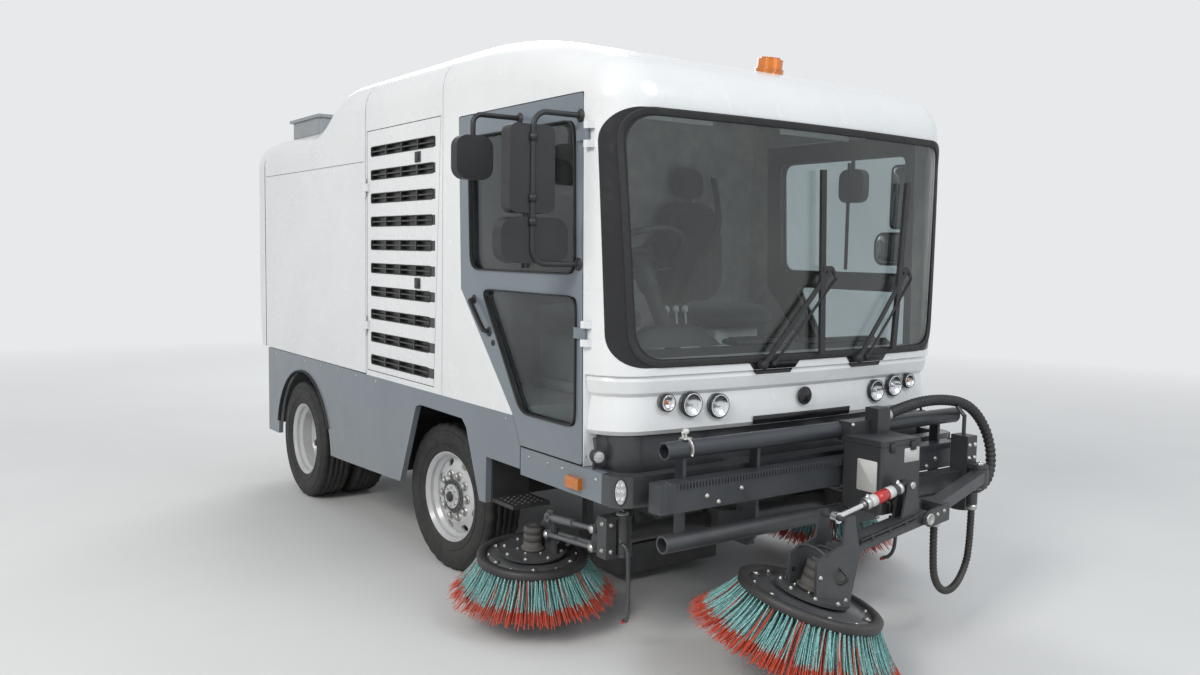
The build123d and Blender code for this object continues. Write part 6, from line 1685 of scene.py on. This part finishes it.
class SWEEPER_OT_body(bpy.types.Operator):
    """Mirror faces and clamps, wiper blades and arms, outlet grille, hopper seams, gate latches, arch lips, step"""
    bl_idname = "sweeper.body"
    bl_label = "Body fittings"

    def execute(self, context):
        faces = Shape()
        # middle, then width, height and corner radius: the right mirrors look back, the left ones are folded in
        for middle, outline in (((-1240, -1270.5, 1960), (176, 308, 26)), ((-1225, -1270.5, 1690), (272, 148, 48)),
                                ((-1250, -845.5, 2030), (146, 154, 40))):
            panel(faces, middle, (-1, 0, 0), UP, plate_outline(*outline), 1.6, 0.8)
        faces.piece("mirror_faces_right", "mirror", "cab_door_right")
        faces = Shape()
        for middle, outline in (((1080.5, -1240, 1960), (176, 308, 26)), ((1080.5, -1195, 1690), (272, 148, 48))):
            panel(faces, middle, AHEAD, UP, plate_outline(*outline), 1.6, 0.8)
        faces.piece("mirror_faces_left", "mirror", "cab_door_left")

        for side, sx in SIDES:
            clamps = Shape()
            foot_x = sx * (BODY_HALF + 0.3)
            if side == "right":
                for z_at in (2080, 1850, 1760):
                    turned(clamps, (-1240, -1338, z_at - 14), UP, ((11, 0), (17, 0), (17, 28), (11, 28)), 20)
                    bolt(clamps, (-1240, -1320, z_at), (0, 1, 0), 9, washer=False)
                turned(clamps, (-1250, -876, 2092), UP, ((11, 0), (16, 0), (16, 30), (11, 30)), 20)
            for z_at in (2177, 1600):
                turned(clamps, (foot_x, -1338, z_at), (sx, 0, 0),
                       ((11, 12), (15, 12), (22, 4), (26, 3), (26, 0)), 24)
            turned(clamps, (foot_x, -876, 2209), (sx, 0, 0), ((11, 12), (15, 12), (20, 4), (24, 3), (24, 0)), 24)
            clamps.piece(f"mirror_clamps_{side}", "plastic", f"cab_door_{side}")

        blades = Shape()
        for low, high in (((60, 1225), (30, 2015)), ((560, 1225), (620, 1990))):
            share = np.linspace(0, 1, 40)[:, None]
            line = np.array(low, float) * (1 - share) + np.array(high, float) * share
            sweep(blades, on_nose(line[:, 0], -16.0, line[:, 1]), ((-4, 6), (4, 6), (1.2, -9), (-1.2, -9)),
                  up=AHEAD)
        for x_at in (-280, 310):
            turned(blades, (x_at, float(nose_y(x_at)) - 30, 1192), AHEAD,
                   ((19, -4), (19, 3), (15, 7), (6, 9), (0.1, 9)), 24)
        for pivot_x, tip_x, tip_z in ((-280, 100, 1595), (310, 640, 1590)):
            rise = float(nose_y(tip_x)) - 30
            foot = np.array((pivot_x + 62, float(nose_y(pivot_x + 62)) - 22, 1196))
            knee = np.array((tip_x + 30, rise - 2, tip_z - 38))
            sweep(blades, (foot, (foot + knee) / 2 + (0, -4, 0), knee), rounded(13, 7, 2), up=AHEAD)
            turned(blades, foot + (0, 8, 0), AHEAD, ((12, -2), (12, 10), (8, 13), (0.1, 13)), 20)
            sweep(blades, ((tip_x, rise - 3, tip_z), knee), rounded(18, 7, 2), up=AHEAD)
        blades.piece("wiper_rubbers", "gasket", "chassis", slot="hose_rubber")

        grille = Shape()
        low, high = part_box("roof_outlet")
        low, high = (np.array(v) * 1000 - (CENTRE_X, AXLE_Y, 0) for v in (low, high))
        for x_at in low[0] + np.linspace(0.08, 0.92, 15) * (high[0] - low[0]):
            box_shape(grille, (x_at - 6, low[1] + 24, high[2] - 3), (x_at + 6, high[1] - 24, high[2]), 1.2)
        grille.piece("outlet_grille", "plastic", "hopper")

        seams = Shape()
        for sx in (-1, 1):
            seam_x = sx * (BODY_HALF + 0.2)
            sweep(seams, ((seam_x, 830, 2130), (seam_x, 2600, 2130)), rounded(4, 2, 0.6, 1))
        seams.piece("hopper_seams", "gasket", "hopper")

        gate = Shape()
        for sx in (-1, 1):
            for z_at in (1120, 2150):
                box_shape(gate, (sx * 880 - 26, 2764, z_at - 40), (sx * 880 + 26, 2774, z_at + 40), 3)
            for z_at in range(1050, 2300, 240):
                bolt(gate, (sx * 985, 2765, z_at), (0, 1, 0), 11, 5)
        gate.piece("gate_latches", "plastic", "rear_door")

        guards = Shape()
        arch_y, arch_z, arch_r = 1875, 330, 504
        for sx in (-1, 1):
            arc = np.linspace(radians(12), radians(158), 44)
            lip = np.column_stack([np.full(44, sx * (BODY_HALF - 1.0)), arch_y + arch_r * np.cos(arc),
                                   arch_z + arch_r * np.sin(arc)])
            sweep(guards, lip, rounded(26, 9, 4), up=(0, 1, 0.2))
        guards.piece("rear_arch_lips", "gasket", "chassis")

        tread = Shape()
        for sx in (-1, 1):
            for row in range(5):
                for column in range(5):
                    turned(tread, (sx * (830 + 34 * column), -778 + 32 * row, 508), UP,
                           ((9, 0), (8, 3), (5.5, 3), (5, 0.5)), 12)
        tread.piece("step_tread", "gear", "chassis")
        return {"FINISHED"}


# ---- Panel, registration and the run

class SWEEPER_PT_panel(bpy.types.Panel):
    """Settings and steps of the sweeper's looks in the sidebar"""
    bl_idname = "SWEEPER_PT_panel"
    bl_label = "Sweeper"
    bl_space_type = "VIEW_3D"
    bl_region_type = "UI"
    bl_category = "Sweeper"

    def draw(self, context):
        for name, kind in SETTINGS.items():
            column = self.layout.column(align=True)
            for field in kind.__annotations__:
                column.prop(getattr(context.scene, name), field)
        for operator in STEPS:
            self.layout.operator(operator.bl_idname)


SETTINGS = {"sweeper_stage": SWEEPER_StageSettings, "sweeper_colours": SWEEPER_ColourSettings,
            "sweeper_bristles": SWEEPER_BristleSettings, "sweeper_tyres": SWEEPER_TyreSettings}
STEPS = (SWEEPER_OT_stage, SWEEPER_OT_paint, SWEEPER_OT_hoses, SWEEPER_OT_brushes, SWEEPER_OT_wheels,
         SWEEPER_OT_seals, SWEEPER_OT_front_gear, SWEEPER_OT_side_gear, SWEEPER_OT_lamps, SWEEPER_OT_cab,
         SWEEPER_OT_body)


def register():
    """Registers the settings, operators and panel."""
    for kind in (*SETTINGS.values(), *STEPS, SWEEPER_PT_panel):
        bpy.utils.register_class(kind)
    for name, kind in SETTINGS.items():
        setattr(bpy.types.Scene, name, bpy.props.PointerProperty(type=kind))


def unregister():
    """Takes the settings, operators and panel out again."""
    for name in SETTINGS:
        delattr(bpy.types.Scene, name)
    for kind in (SWEEPER_PT_panel, *reversed(STEPS), *SETTINGS.values()):
        bpy.utils.unregister_class(kind)


def main():
    """Runs every step."""
    register()
    bpy.ops.sweeper.stage()
    bpy.ops.sweeper.paint()
    bpy.ops.sweeper.hoses()
    bpy.ops.sweeper.brushes()
    bpy.ops.sweeper.wheels()
    bpy.ops.sweeper.seals()
    bpy.ops.sweeper.front_gear()
    bpy.ops.sweeper.side_gear()
    bpy.ops.sweeper.lamps()
    bpy.ops.sweeper.cab()
    bpy.ops.sweeper.body()


if __name__ == "__main__":
    main()
